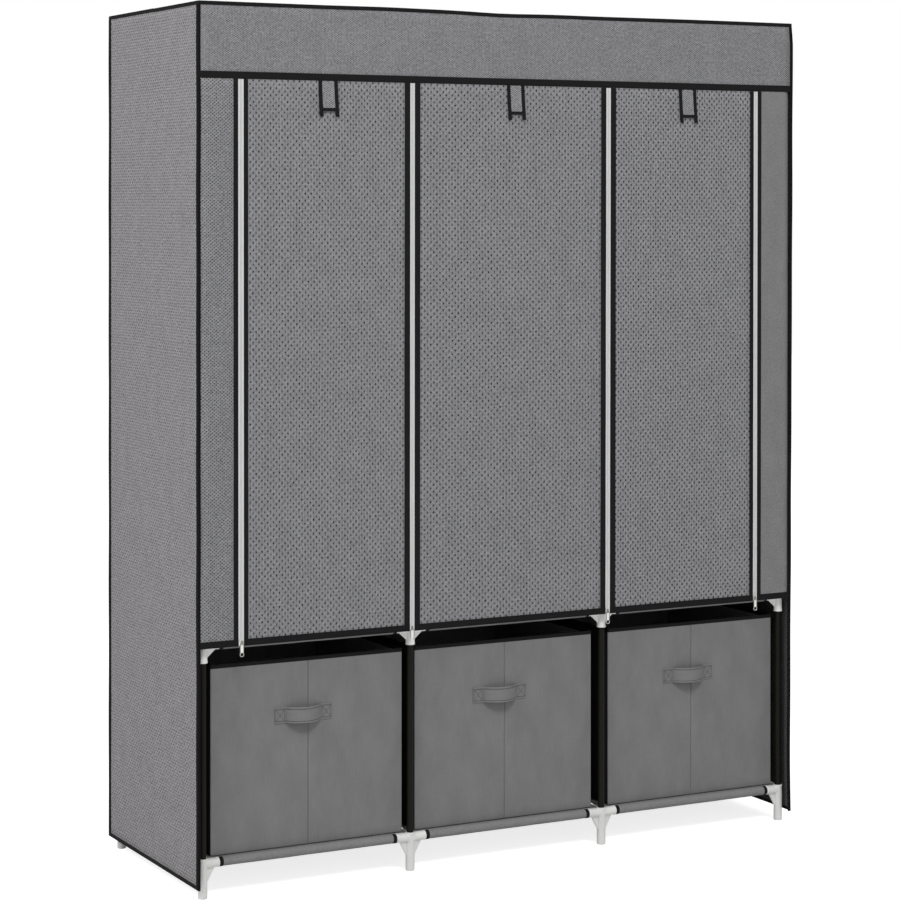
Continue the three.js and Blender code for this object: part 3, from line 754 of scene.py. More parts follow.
header_band = front_band(cover_low[0] + 1.6 * MM, cover_high[0] - 1.6 * MM, header_low + BAND / 2, BAND, 120)
piece("header_binding", finished(binding_cloth, header_band), "frame")
strip_sides = {
    "left": (-1, strip_ends[0], ZIP_BINDINGS[0][0], cover_low[0] + LEFT_WIDTH - 1 * MM),
    "right": (1, strip_ends[1], ZIP_BINDINGS[3][1], cover_high[0] - RIGHT_WIDTH + 1 * MM),
}
for name, (side, zip_edge, width, far_edge) in strip_sides.items():
    beside = front_post(zip_edge + side * width / 2, header_low + 2 * MM, width)
    below = front_band(*sorted([far_edge, zip_edge]), door_low + DOOR_HEM / 2, DOOR_HEM, 12)
    surfaces = finished(binding_cloth, beside, below, move=drifted)
    piece(f"strip_binding_{name}", surfaces, "frame")

# %% [markdown]
# ## The doors
# Each door is a sheet between two zips. It is bound down both sides and hemmed below, and it turns about
# its top edge, where it is sewn behind the header's binding.

# %% Doors
DOOR_INSET = 1.2 * MM
for number, cloth in zip(BAYS, door_cloths):
    x0 = zip_x[number - 1] + ZIP_HALVES[number - 1]
    x1 = zip_x[number] - ZIP_HALVES[number]
    left_binding = ZIP_BINDINGS[number - 1][1]
    right_binding = ZIP_BINDINGS[number][0]
    body = f"door_body_{number}"
    place = (np.array([x0 + DOOR_INSET, face_y, door_low + DOOR_INSET]), X, Z, x1 - x0 - 2 * DOOR_INSET,
             door_high - door_low - DOOR_INSET, 20 + number)
    panel(f"door_cloth_{number}", place, cloth, body, "grey_cloth", [f"door_{number}"], "hung",
          ["header_binding"], drifted)
    left = front_post(x0 + left_binding / 2, door_high, left_binding)
    right = front_post(x1 - right_binding / 2, door_high, right_binding)
    below = front_band(x0, x1, door_low + DOOR_HEM / 2, DOOR_HEM)
    surfaces = finished(binding_cloth, left, right, below, move=drifted)
    piece(f"door_binding_{number}", surfaces, body)
    print("door", number, "is", round(x1 - x0, 4), "wide")

# %% [markdown]
# ## The zips
# A coil zip is two tapes, each with a flattened nylon helix along its inner edge. Each half rides with
# the cloth that it is sewn to, so a door that swings out takes its halves with it. The helix is a tube
# around x = centre + rx cos t, y = ry sin t, z = pitch * t / 2 pi.

# %% Zip halves
COIL_GAP = 0.05 * MM
COIL_WIDTH = 2.2 * MM
COIL_DEPTH = 0.6 * MM
COIL_PITCH = 1.5 * MM
COIL_WIRE = 0.26 * MM
COIL_STEPS = 8
TAPE_DEPTH = 0.5 * MM
TAPE_UNDER = 1.5 * MM
ZIP_DEPTH = 1.0 * MM
slider_top = corners("zip_slider_1")[1, 2]
zip_front = surround_low[1] + PROUD + 0.2 * MM
coil_y = zip_front + COIL_DEPTH / 2
tape_y = zip_front + ZIP_DEPTH - TAPE_DEPTH / 2


def coil(x, side, z0, z1):
    """The flattened helix on one side (-1 or 1) of a zip's middle line."""
    turns = (z1 - z0) / COIL_PITCH
    t = np.linspace(0, FULL_TURN * turns, round(turns * COIL_STEPS) + 1)
    middle_x = x + side * (COIL_GAP + COIL_WIDTH / 2)
    reach = COIL_WIDTH / 2 - COIL_WIRE
    depth = COIL_DEPTH / 2 - COIL_WIRE
    rise = z0 + COIL_PITCH * t / FULL_TURN
    path = stacked(middle_x + reach * np.cos(t), coil_y + depth * np.sin(t), rise)
    return carried(circle(COIL_WIRE, 4), path, stacked(np.cos(t), np.sin(t), 0), Z)


def zip_half(index, side):
    """The tape and the coil on one side of a zip. The tape runs on under the binding beside it."""
    x = zip_x[index]
    outer = ZIP_HALVES[index] + TAPE_UNDER
    centre = x + side * (COIL_GAP + outer) / 2
    tape = flat_tape([centre, tape_y, tape_low], [centre, tape_y, door_high], X, -Y, outer - COIL_GAP,
                     TAPE_DEPTH)
    teeth = coil(x, side, tape_low + 1 * MM, door_high - 1 * MM)
    return finished(zip_tape_cloth, tape, move=drifted) + finished(coil_plastic, teeth, move=drifted)


halves = {
    "frame": [(0, -1), (3, 1)],
    "door_body_1": [(0, 1), (1, -1)],
    "door_body_2": [(1, 1), (2, -1)],
    "door_body_3": [(2, 1), (3, -1)],
}
for body, sides in halves.items():
    for index, side in sides:
        name = f"zip_{index + 1}_{'right' if side > 0 else 'left'}_half"
        piece(name, zip_half(index, side), body)
print("zips made with", round((door_high - door_low) / COIL_PITCH), "turns in each coil")

# %% [markdown]
# ## Sliders and pull tabs
# A slider is two plates with a narrow nose above wide shoulders, and an arch over the front one. The
# pull tab hangs from the arch: two legs and a bar round it, a flat neck with a raised bright face, and a
# round eye. The arch, the legs, the bar and the neck are a darker copy of the bright metal: painted shade
# on them.

# %% Sliders and pull tabs
SLIDER_LENGTH = 11.5 * MM
SLIDER_WIDTH = 8.8 * MM
PLATE = 1.1 * MM
ARCH_WIDTH = 1.9 * MM
ARCH_HEIGHT = 1.6 * MM
ARCH_LENGTH = 8 * MM
ARCH_WIRE = 1.2 * MM
EYE_RADIUS = 3.9 * MM
EYE_WIRE = 1.05 * MM
EYE_DROP = 28.8 * MM
LEG = 1.3 * MM
NECK_WIDTH = 8.0 * MM
NECK_FACE = 5.4 * MM
TAB_THICKNESS = 1.2 * MM
TAB_SHIFTS = (0, -1.5 * MM, -1.4 * MM, -1.2 * MM)
SLIDER_SHIFTS = (-1.2 * MM, -1.6 * MM, -1.4 * MM, -0.8 * MM)


def slider_plate(x, y, top):
    """A plate carried down from its nose, its width following the cosine from nose to shoulder."""
    share = np.linspace(0, 1, 13)
    wide = 0.72 + 0.28 * (1 - np.cos(math.pi * np.clip(share / 0.6, 0, 1))) / 2
    ends = np.sqrt(np.clip(1 - ((share - 0.5) * 2) ** 10, 0.05, 1))
    section = rounded(SLIDER_WIDTH, PLATE, 0.45 * PLATE)
    path = line([x, y, top], [x, y, top - SLIDER_LENGTH], 12)
    return carried(section, path, (wide * ends)[:, None] * X, -Y, round_end=0.2 * MM)


def arch(x, y, low):
    """A half ellipse of flat wire, standing out from the front plate."""
    turn = np.linspace(0, math.pi, 17)
    z = low + ARCH_LENGTH / 2 + ARCH_LENGTH / 2 * np.cos(turn)
    path = stacked(x, y - ARCH_HEIGHT * np.sin(turn), z)
    outward = stacked(0, -np.sin(turn), np.cos(turn))
    section = rounded(ARCH_WIDTH, ARCH_WIRE, 0.4 * ARCH_WIRE)
    return carried(section, path, X, outward, round_end=0.1 * MM)


def eye_ring(x, y, z, steps=32):
    """A flat wire round a circle that stands upright, facing the front."""
    turn = np.linspace(0, FULL_TURN, steps + 1)
    outward = stacked(np.cos(turn), 0, np.sin(turn))
    section = rounded(EYE_WIRE, TAB_THICKNESS, 0.4 * TAB_THICKNESS)
    return carried(section, np.array([x, y, z]) + outward * EYE_RADIUS, outward, -Y, open_ends=True)


front = surround_low[1] - 0.2 * MM
tab_y = front - PLATE - TAB_THICKNESS / 2 - 0.3 * MM
eye_z = slider_top - EYE_DROP
frame_z = slider_top - SLIDER_LENGTH + 1 * MM
leg_z = slider_top - 1.6 * MM
bar_z = slider_top - 2 * MM
for index, number in enumerate(POSTS):
    x = zip_x[index] + SLIDER_SHIFTS[index]
    plates = [slider_plate(x, y, slider_top) for y in (front - PLATE / 2, surround_high[1] + PLATE)]
    post = flat_tape([x, band_y, slider_top - 0.8 * MM], [x, band_y, slider_top - 4 * MM], X, -Y, 0.7 * MM,
                     surround_high[1] - front + 2 * PLATE, 6)
    bridge = arch(x, front - PLATE, slider_top - SLIDER_LENGTH + 1.2 * MM)
    surfaces = finished(slider_metal, *plates, post, move=drifted)
    # The arch takes the darker copy of the metal, which paints its shade.
    surfaces += finished(zip_metal_painted_shade, bridge, move=drifted)
    piece(f"slider_{number}", surfaces, f"slider_body_{number}", [f"zip_slider_{number}"])

    x = zip_x[index] + TAB_SHIFTS[index]
    legs = [flat_tape([x + side * 1.1 * MM, tab_y, leg_z], [x + side * 3 * MM, tab_y, frame_z], X, -Y, LEG,
                      TAB_THICKNESS, 8) for side in (-1, 1)]
    bar = flat_tape([x - 1.6 * MM, tab_y, bar_z], [x + 1.6 * MM, tab_y, bar_z], Z, -Y, LEG, TAB_THICKNESS, 6)
    neck_ends = np.array([[x, tab_y, frame_z + 0.4 * MM], [x, tab_y, eye_z + EYE_RADIUS - 0.4 * MM]])
    neck = flat_tape(*neck_ends, X, -Y, NECK_WIDTH, TAB_THICKNESS, 12)
    shine = flat_tape(*(neck_ends - TAB_THICKNESS / 2 * Y), X, -Y, NECK_FACE, 0.6 * TAB_THICKNESS, 12)
    # Legs, bar and neck take the darker metal as painted shade; the raised face and the eye stay bright.
    surfaces = finished(zip_metal_painted_shade, *legs, bar, neck, move=drifted)
    surfaces += finished(shine_metal, shine, move=drifted)
    surfaces += finished(eye_metal, eye_ring(x, tab_y, eye_z), move=drifted)
    piece(f"puller_{number}", surfaces, f"tab_body_{number}", [f"pull_tab_{number}"])

# %% [markdown]
# ## Tie straps
# A strap hangs under the header on each door, to tie the rolled-up cloth. It is a short piece of cloth
# between two bound edges, with a cross bar, and its bars end in two free tails. It leans a little, and
# its lower end stands off the door.

# %% Straps
STRAP_BAR = 8 * MM
CROSS_BAR = 6.6 * MM
STRAP_TAIL = 11 * MM
STRAP_LEAN = 2.2 * MM
STRAP_LIFT = 4 * MM
STRAP_EDGE = 3 * MM
STRAP_SHIFTS = ((-1.1 * MM, -1.1 * MM), (0, -1.2 * MM), (-1.5 * MM, 0))


def hung(grid, top, drop):
    """share = depth below the strap's top: x leans by share, y stands off by share squared."""
    share = (top - grid[..., 2:]) / drop
    return grid + share * STRAP_LEAN * X - np.clip(share, 0, 1) ** 2 * STRAP_LIFT * Y


for number, (left_shift, right_shift) in zip(BAYS, STRAP_SHIFTS):
    low, high = corners(f"tie_strap_{number}")
    x0 = low[0] + left_shift
    x1 = high[0] + right_shift
    y = (low[1] + high[1]) / 2
    depth = high[1] - low[1]
    top = header_low + 1 * MM
    drop = top - low[2]
    cloth_low = low[2] + STRAP_TAIL
    cross_z = cloth_low + CROSS_BAR / 2
    size = (x1 - x0 - 2 * STRAP_EDGE, high[2] - cloth_low)
    cloth, uv = sheet(np.array([x0 + STRAP_EDGE, y, cloth_low]), X, Z, *size, 30 + number, 0.1 * MM, 0.004)
    made = piece(f"strap_cloth_{number}", [(hung(cloth, top, drop), uv, strap_cloth)], f"strap_body_{number}",
                 closed=False)
    thicken(made, 0.6 * MM)
    bars = [flat_tape([bar_x, y, top], [bar_x, y, low[2]], X, -Y, STRAP_BAR, depth, 24)
            for bar_x in (x0 + STRAP_BAR / 2, x1 - STRAP_BAR / 2)]
    cross = flat_tape([x0 + 2 * MM, y, cross_z], [x1 - 2 * MM, y, cross_z], Z, -Y, CROSS_BAR, depth * 0.9, 12)
    surfaces = finished(binding_cloth, *bars, cross, move=lambda grid: hung(grid, top, drop))
    piece(f"strap_{number}", surfaces, f"strap_body_{number}", [f"tie_strap_{number}"])

# %% [markdown]
# ## Turned shapes
# Tubes and sockets are profiles of (radius, height) turned about an axis. Connectors join several of
# them with webs, and have bores, so Blender's exact boolean joins and cuts them.

# %% Turned shapes and carved mouldings
ORIGIN = np.zeros(3)


def turned(profile, centre, axis, steps=36):
    """point = centre + height * axis + radius * (cos t * side + sin t * other)."""
    axis = np.asarray(axis, float)
    side = Y if abs(axis[1]) < 0.5 else Z
    other = np.cross(axis, side)
    t = np.linspace(0, FULL_TURN, steps + 1)
    spokes = np.cos(t)[:, None] * side + np.sin(t)[:, None] * other
    profile = np.asarray(profile, float)
    return centre + profile[:, None, 1:] * axis + profile[:, None, :1] * spokes[None]


def rounded_end(radius, height, soft, steps=3):
    """Points of a rounded edge, from the side wall at height - soft to the face at height."""
    turn = np.linspace(0, math.pi / 2, steps + 1)
    return [[radius - soft * (1 - math.cos(a)), height - soft * (1 - math.sin(a))] for a in turn]


def carved(solids, holes):
    """The exact union of closed surfaces, less the holes, as a new mesh."""
    parts = []
    for grid in solids + holes:
        mesh, _ = joined("part", [grid])
        weld(mesh, True)
        parts.append(added("part", mesh))
    for index, part in enumerate(parts[1:], start=1):
        step = parts[0].modifiers.new("step", "BOOLEAN")
        step.object = part
        step.solver = "EXACT"
        step.operation = "UNION" if index < len(solids) else "DIFFERENCE"
    bpy.context.view_layer.update()
    made = bpy.data.meshes.new_from_object(parts[0].evaluated_get(bpy.context.evaluated_depsgraph_get()))
    for part in parts:
        mesh = part.data
        bpy.data.objects.remove(part)
        bpy.data.meshes.remove(mesh)
    return made

# %% [markdown]
# ## Moulded connectors
# Each upright stands in a foot with level sockets, and passes a second connector below the doors. Every
# socket has a thicker lip at its mouth, and a triangular web braces it against the barrel.

# %% Connectors
TUBE = 7 * MM
BORE = 7.3 * MM
SOCKET = 9.2 * MM
LIP = 9.7 * MM
LIP_LENGTH = 4 * MM
REACH = 33 * MM
DEPTH = 22 * MM
UPPER_REACH = 34.5 * MM
FOOT_FLOOR = 34 * MM
SOFT = 0.6 * MM
WEB = 4 * MM
PAST = 1 * MM
WEBS = {"foot": (14.8 * MM, 27.3 * MM), "joint": (16.8 * MM, 14.8 * MM)}
ALONG = ((X,), (-X, X), (-X, X), (-X,))
post_x = [middle(f"upright_front_{number}")[0] for number in POSTS]
front_y = middle("upright_front_1")[1]
rear_y = middle("upright_rear_1")[1]
mid_y = (front_y + rear_y) / 2
bottom_level = corners("foot_front_1")[1, 2] - LIP
middle_level = corners("joint_front_1")[1, 2] - UPPER_REACH
top_level = corners("top_frame_1")[1, 2] - LIP


def socket_profile(low, high, lipped=True):
    """A socket's outline from its closed root to its mouth, with a soft lip."""
    if not lipped:
        return [[0, low], [SOCKET, low], *rounded_end(SOCKET, high, SOFT), [0, high]]
    return [
        [0, low],
        [SOCKET - SOFT, low],
        [SOCKET, low + SOFT],
        [SOCKET, high - LIP_LENGTH - SOFT],
        [SOCKET + 0.15 * MM, high - LIP_LENGTH - 0.2 * MM],
        [LIP, high - LIP_LENGTH],
        *rounded_end(LIP, high, SOFT),
        [0, high],
    ]


def drill(low, high):
    """A bore's outline."""
    return [[0, low], [BORE, low], [BORE, high], [0, high]]


def web(along, run, fall):
    """A triangular plate under a socket: full at the barrel, running out along the socket."""
    root = SOCKET - 3 * MM
    outline = np.array([[root, -root], [root, -SOCKET - fall], [SOCKET, -SOCKET - fall],
                        [SOCKET + run, -SOCKET], [SOCKET + run, -root], [root, -root]])
    across = np.cross(Z, along)
    middle_point = outline[:-1].mean(axis=0)
    rows = []
    for share, offset in ((0, -1), (0.9, -1), (1, -0.75), (1, 0.75), (0.9, 1), (0, 1)):
        ring = middle_point + (outline - middle_point) * share
        rows.append(ring[:, :1] * along + ring[:, 1:] * Z + offset * WEB / 2 * across)
    return np.array(rows)


BARRELS = {
    "foot": (turned([[0, -bottom_level], [SOCKET - 1 * MM, -bottom_level], [SOCKET, 1 * MM - bottom_level],
                     *socket_profile(0, LIP)[3:]], ORIGIN, Z),
             turned(drill(FOOT_FLOOR - bottom_level, LIP + PAST), ORIGIN, Z)),
    "joint": (turned(socket_profile(-UPPER_REACH, UPPER_REACH), ORIGIN, -Z),
              turned(drill(-UPPER_REACH - PAST, UPPER_REACH + PAST), ORIGIN, Z)),
    "cap": (turned([[0, -LIP], [SOCKET - SOFT, -LIP], [SOCKET, SOFT - LIP],
                    *rounded_end(SOCKET, UPPER_REACH, SOFT), [0, UPPER_REACH]], ORIGIN, -Z),
            turned(drill(0.3 * MM, UPPER_REACH + PAST), ORIGIN, -Z)),
}


def connector(kind, directions):
    """A connector around (0, 0, 0): its barrel if it has one, level sockets and webs, with bores."""
    solids, holes = ([shape] for shape in BARRELS[kind]) if kind in BARRELS else ([], [])
    for axis in directions:
        solids.append(turned(socket_profile(0, REACH, kind in WEBS), ORIGIN, axis))
        if kind in WEBS:
            solids.append(web(axis, *WEBS[kind]))
        holes.append(turned(drill(REACH - DEPTH, REACH + PAST), ORIGIN, axis))
    return carved(solids, holes)


moulds = {}


def place_connector(kind, row, number, y, level, inward, plastic, name, replaced=()):
    """Sets a copy of a connector at a post. The first of each shape makes the mould for its copies."""
    shape = (kind, row, {1: "left", 4: "right"}.get(number, "between"))
    if shape not in moulds:
        moulds[shape] = connector(kind, (*inward, *ALONG[number - 1]))
    mesh = moulds[shape].copy()
    mesh.transform(Matrix.Translation((post_x[number - 1], y, level)))
    mesh.materials.clear()
    mesh.materials.append(plastic)
    dress(f"{name}_moulding_{row}_{number}", mesh, "frame", replaced, 35)


# The joints take the lighter copy of the white plastic, as painted light.
for kind, level, plastic in (("foot", bottom_level, foot_plastic), ("joint", middle_level, joint_plastic_painted_lighter)):
    for row, y, inward in (("front", front_y, Y), ("rear", rear_y, -Y)):
        for number in POSTS:
            place_connector(kind, row, number, y, level, [inward], plastic, kind, [f"{kind}_{row}_{number}"])
print("connector moulds:", len(moulds))

# %% [markdown]
# ## Tubes
# Uprights, rods and rails are one kind of steel tube. A tube is a closed loop of (radius, height): up the
# outside, over the rolled end, and down the bore.

# %% Tubes
TUBE_WALL = 0.8 * MM
ROLL = 0.3 * MM


def tube(start, end):
    """A steel tube from start to end with softly rolled ends, as one surface of a piece."""
    start = np.asarray(start, float)
    reach = np.asarray(end, float) - start
    length = np.linalg.norm(reach)
    bore = TUBE - TUBE_WALL
    profile = [[bore, ROLL], [bore + ROLL, 0], [TUBE - ROLL, 0], [TUBE, ROLL], [TUBE, length - ROLL],
               [TUBE - ROLL, length], [bore + ROLL, length], [bore, length - ROLL], [bore, ROLL]]
    return turned(profile, start, reach / length, 28), None, black_steel


for row in ("front", "rear"):
    for number in POSTS:
        low, high = corners(f"upright_{row}_{number}")
        x, y = (low[:2] + high[:2]) / 2
        piece(f"post_{row}_{number}", [tube([x, y, low[2]], [x, y, high[2]])], "frame",
              [f"upright_{row}_{number}"])

# %% [markdown]
# ## Rails and the top frame
# Side rails run from each rear connector to its front partner. The top frame has a cap on each upright,
# rails all round, and a tee in the middle of each side rail. A hanging rod joins the tees in each bay.

# %% Side rails and top frame
INSERT = REACH - DEPTH + 0.4 * MM
TEE = 10 * MM
side_rails = [tube([x, front_y + INSERT, level], [x, rear_y - INSERT, level])
              for level in (bottom_level, middle_level) for x in post_x]
piece("side_rails", side_rails, "frame")

top_metal = []
for index, x in enumerate(post_x):
    for y0, y1 in ((front_y + INSERT, mid_y - TEE), (mid_y + TEE, rear_y - INSERT)):
        top_metal.append(tube([x, y0, top_level], [x, y1, top_level]))
    if x != post_x[-1]:
        for y in (front_y, mid_y, rear_y):
            top_metal.append(tube([x + INSERT, y, top_level], [post_x[index + 1] - INSERT, y, top_level]))
piece("top_rails_and_rods", top_metal, "frame", TOP_NODES)
for number in POSTS:
    for row, kind, y, inward in (("front", "cap", front_y, [Y]), ("rear", "cap", rear_y, [-Y]),
                                 ("tee", "tee", mid_y, [Y, -Y])):
        place_connector(kind, row, number, y, top_level, inward, joint_plastic_painted_lighter, "top")

# %% [markdown]
# ## Shelves
# A shelf is one cloth with a sleeve sewn along its front and back, and a steel rail in each sleeve. The
# sleeve ends are bound with black tape, close beside the sockets. The cloth sags a little between them.

# %% Shelves
SLEEVE = 9.1 * MM
RING = 7.5 * MM
RING_GAP = 0.7 * MM
RING_SOFT = 0.8 * MM
SHEET_SAG = 2.5 * MM
NOTCH = 2 * MM
SHEET_EDGE = 5.2 * MM
SLEEVE_SAGS = {"bottom": 0, "middle": 0.75 * MM}


def sleeve(x0, x1, y, z, sag, seed, steps=70):
    """A cloth tube that hangs from a rail, wider by its sag, with small random bulges along it."""
    chance = np.random.default_rng(seed)
    along = np.linspace(0, 1, steps + 1)
    bulge = sum(chance.uniform(-1, 1) * np.sin(FULL_TURN * along * count + chance.uniform(0, 6))
                for count in (2, 3, 5, 9))
    radius = SLEEVE + sag - 0.1 * MM + 0.07 * MM * bulge
    inner = TUBE + sag + 0.25 * MM
    profile = [[inner, 0], *[[r, a * (x1 - x0)] for r, a in zip(radius, along)], [inner, x1 - x0], [inner, 0]]
    return turned(profile, np.array([x0, y, z - sag]), X, 28)


def end_ring(x, direction, y, z, sag):
    """The black binding at a sleeve's end, from x along the direction."""
    radius = SLEEVE + sag + 0.35 * MM
    inner = TUBE + sag + 0.15 * MM
    turn = np.linspace(0, math.pi / 2, 4)
    start = [[radius - RING_SOFT * (1 - math.sin(a)), RING_SOFT * (1 - math.cos(a))] for a in turn]
    stop = rounded_end(radius, RING, RING_SOFT)
    profile = [[inner, 0], *start, *stop, [inner, RING], [inner, 0]]
    return turned(profile, np.array([x, y, z - sag]), direction * X, 28)


def shelf_sheet(x0, x1, reach, y0, y1, z, seed):
    """The cloth between the sleeves: z falls by the sag in the middle, and past the notch the cloth
    reaches to the side rails."""
    notch = NOTCH / (y1 - y0)
    rows = np.concatenate([[0, notch, notch + 0.002, 0.03], np.linspace(0.1, 0.9, 17)])
    rows = np.sort(np.concatenate([rows, 1 - rows[:4]]))
    inner = np.interp(rows, [0, notch, notch + 0.002, 0.5], [0, 0, 1, 1])
    inner = np.minimum(inner, inner[::-1])
    wide = (x1 - x0) / 2 + inner * reach
    across = np.linspace(-1, 1, 25)
    x = (x0 + x1) / 2 + wide[:, None] * across[None]
    y = np.repeat((y0 + rows * (y1 - y0))[:, None], len(across), axis=1)
    hump = np.sin(math.pi * rows)[:, None]
    dip = SHEET_SAG * hump * (1 - 0.6 * across[None] ** 2)
    lumps = 0.5 * MM * waves(x, y, seed, 0.2) * hump
    return stacked(x, y, z - dip + lumps), stacked(x, y)


rows_y = (front_y, rear_y)
for number in BAYS:
    left, right = post_x[number - 1], post_x[number]
    x0 = left + REACH + RING_GAP
    x1 = right - REACH - RING_GAP
    for level_name, level in (("bottom", bottom_level), ("middle", middle_level)):
        tag = f"{level_name}_{number}"
        rails = [tube([left + INSERT, y, level], [right - INSERT, y, level]) for y in rows_y]
        piece(f"shelf_rails_{tag}", rails, "frame")
        sag = SLEEVE_SAGS[level_name]
        ends = (x0 + RING - 1 * MM, x1 - RING + 1 * MM)
        sleeves = [sleeve(*ends, y, level, sag, 40 + number) for y in rows_y]
        rings = [end_ring(x, side, y, level, sag) for x, side in ((x0, 1), (x1, -1)) for y in rows_y]
        surfaces = finished(shelf_cloth, *sleeves) + finished(binding_cloth, *rings)
        piece(f"shelf_sleeves_{tag}", surfaces, "frame", [f"shelf_{tag}"])
        grid, uv = shelf_sheet(x0 + RING, x1 - RING, x0 + RING - left - SHEET_EDGE, *rows_y,
                               level + SLEEVE - 0.2 * MM, 50 + number)
        made = piece(f"shelf_sheet_{tag}", [(grid, uv, shelf_cloth)], "frame", closed=False)
        thicken(made, CLOTH)
print("shelves made, bay width", round(post_x[1] - post_x[0], 4))

# %% [markdown]
# ## The pull-out boxes
# A box is one closed surface: a rounded rectangle, as seen from above, carried along a profile that runs
# over the floor, up the inside, over the rim, and down the outside. A seam runs down the middle of the
# grey front, the other sides are black, and a black tape binds the rim.

# %% Boxes
BOX_WALL = 3 * MM
BOX_FLOOR = 4 * MM
BOX_RIM = 7.5 * MM
BOX_CORNER = 2.5 * MM
FRONT_COLUMNS = 15
SEAM_DEPTH = 2 * MM
SEAM_WIDTH = 1.2 * MM


def box_ring(half_x, half_y, inset, seam):
    """A rounded rectangle from above, anticlockwise from the front's left end. A seam dents the front."""
    radius = max(BOX_CORNER - inset, 1.2 * MM)
    a = half_x - inset
    b = half_y - inset
    fine = np.array([-1, -0.6, -0.3, -0.12]) * (a - radius)
    wide = np.concatenate([fine, np.array([-4, -1.6, -0.8, 0, 0.8, 1.6, 4]) * SEAM_WIDTH, -fine[::-1]])
    dent = SEAM_DEPTH * seam * np.exp(-(wide / SEAM_WIDTH) ** 2)
    deep = np.linspace(-1, 1, 9) * (b - radius)
    sides = ((wide, dent - b), (a, deep), (wide[::-1], b), (-a, deep[::-1]))
    signs = ((1, -1), (1, 1), (-1, 1), (-1, -1))
    turn = np.linspace(0, math.pi / 2, 5)[1:-1]
    loop = []
    for quarter, (side, (sign_x, sign_y)) in enumerate(zip(sides, signs), start=-1):
        angle = quarter * math.pi / 2 + turn
        loop.append(stacked(*side))
        loop.append(stacked(sign_x * (a - radius) + radius * np.cos(angle),
                            sign_y * (b - radius) + radius * np.sin(angle)))
    return np.concatenate([*loop, loop[0][:1]])


def storage_box(low, high):
    """The box's surfaces: grey front, black sides with the floor, black rim tape, and lining."""
    centre = (low + high) / 2
    half_x, half_y = (high[:2] - low[:2]) / 2 - 0.7 * MM
    z0, z1 = low[2], high[2]
    tape_z = z1 - BOX_RIM
    floor_z = z0 + BOX_FLOOR

    def rows(table):
        grid = []
        for inset, z, shrink, seam in table:
            ring_points = box_ring(half_x, half_y, inset, seam) * shrink
            slack = 0.5 * MM * np.sin(math.pi * (z - z0) / (z1 - z0)) * shrink
            push = np.abs(ring_points) / np.array([half_x, half_y])
            bow = slack * np.sign(ring_points) * (push > 0.97) * (1 - push[:, ::-1] ** 4)
            x, y = (ring_points + bow * (1 if inset < 1 * MM else 0)).T
            grid.append(stacked(centre[0] + x, centre[1] + y, z))
        return np.array(grid)

    outside = rows([(0, z0, 0, 0), (2.5 * MM, z0, 0.6, 0), (2.5 * MM, z0, 1, 0),
                    (0.7 * MM, z0 + 0.8 * MM, 1, 0.5),
                    *[(0, z, 1, 1) for z in np.linspace(z0 + 3 * MM, tape_z, 26)],
                    (0, tape_z + 1 * MM, 1, 1)])
    rim = rows([(0, tape_z - 0.2 * MM, 1, 0.8), (-0.6 * MM, tape_z + 0.3 * MM, 1, 0.3),
                (-0.7 * MM, tape_z + 1.2 * MM, 1, 0), (-0.7 * MM, z1 - 1.2 * MM, 1, 0),
                (-0.2 * MM, z1 - 0.2 * MM, 1, 0), (0.8 * MM, z1, 1, 0),
                (BOX_WALL - 0.6 * MM, z1 - 0.2 * MM, 1, 0), (BOX_WALL, z1 - 1.2 * MM, 1, 0),
                (BOX_WALL, tape_z, 1, 0)])
    lining = rows([*[(BOX_WALL, z, 1, 0) for z in np.linspace(tape_z, floor_z + 2 * MM, 14)],
                   (BOX_WALL + 1 * MM, floor_z, 1, 0), (BOX_WALL + 1 * MM, floor_z, 0.5, 0),
                   (BOX_WALL, floor_z, 0, 0)])
    around = outside.shape[1] - 1
    front = outside[:, np.arange(-3, FRONT_COLUMNS + 3) % around]
    sides = outside[:, np.arange(FRONT_COLUMNS + 2, around - 2) % around]
    cloths = ((front, box_cloth), (sides, box_side_cloth), (rim, binding_cloth), (lining, lining_cloth))
    return [(grid, None if grid is rim else grid_uv(grid, np.max), cloth) for grid, cloth in cloths]


for number in BAYS:
    piece(f"box_{number}", storage_box(*corners(f"storage_box_{number}")), f"box_body_{number}",
          [f"storage_box_{number}"])

# %% [markdown]
# ## Box handles
# A handle is a doubled band of cloth. Its two ends lie flat, sewn down with a crossed square of
# stitches, and between them it stands out in a loop. A rib runs along each edge where it is turned in.

# %% Handles
HANDLE_CLOTH = 2 * MM
HANDLE_LOOP = 38 * MM
HANDLE_END = 62.5 * MM
HANDLE_BULGE = 21 * MM
HANDLE_HEIGHT = 0.88
HANDLE_SHIFTS = (1.3 * MM, -5.7 * MM, 5.4 * MM)
STITCH_SQUARE = 19 * MM
EDGE_SEAM = 4.2 * MM
STITCH = 3.2 * MM
THREAD_SECTION = circle(0.4 * MM, 6)
STITCH_BOW = np.array([-0.1, 0.1, 0.1, -0.1])[:, None] * MM


def handle_path(x_mid, y_back, z_mid, steps=64):
    """The band's middle line: y stands out by bulge * sin(pi s) ^ 0.75 along the loop, flat at its ends."""
    flat_end = np.linspace(HANDLE_LOOP, HANDLE_END, 8)[1:]
    loop = HANDLE_LOOP * (2 * np.linspace(0, 1, steps + 1) - 1)
    x = np.concatenate([-flat_end[::-1], loop, flat_end])
    share = np.clip((x / HANDLE_LOOP + 1) / 2, 0, 1)
    out = HANDLE_BULGE * np.sin(math.pi * share) ** 0.75
    path = stacked(x_mid + x, y_back - HANDLE_CLOTH / 2 - out, z_mid)
    ahead = np.gradient(path, axis=0)
    ahead /= np.linalg.norm(ahead, axis=1)[:, None]
    return path, np.cross(ahead, Z)


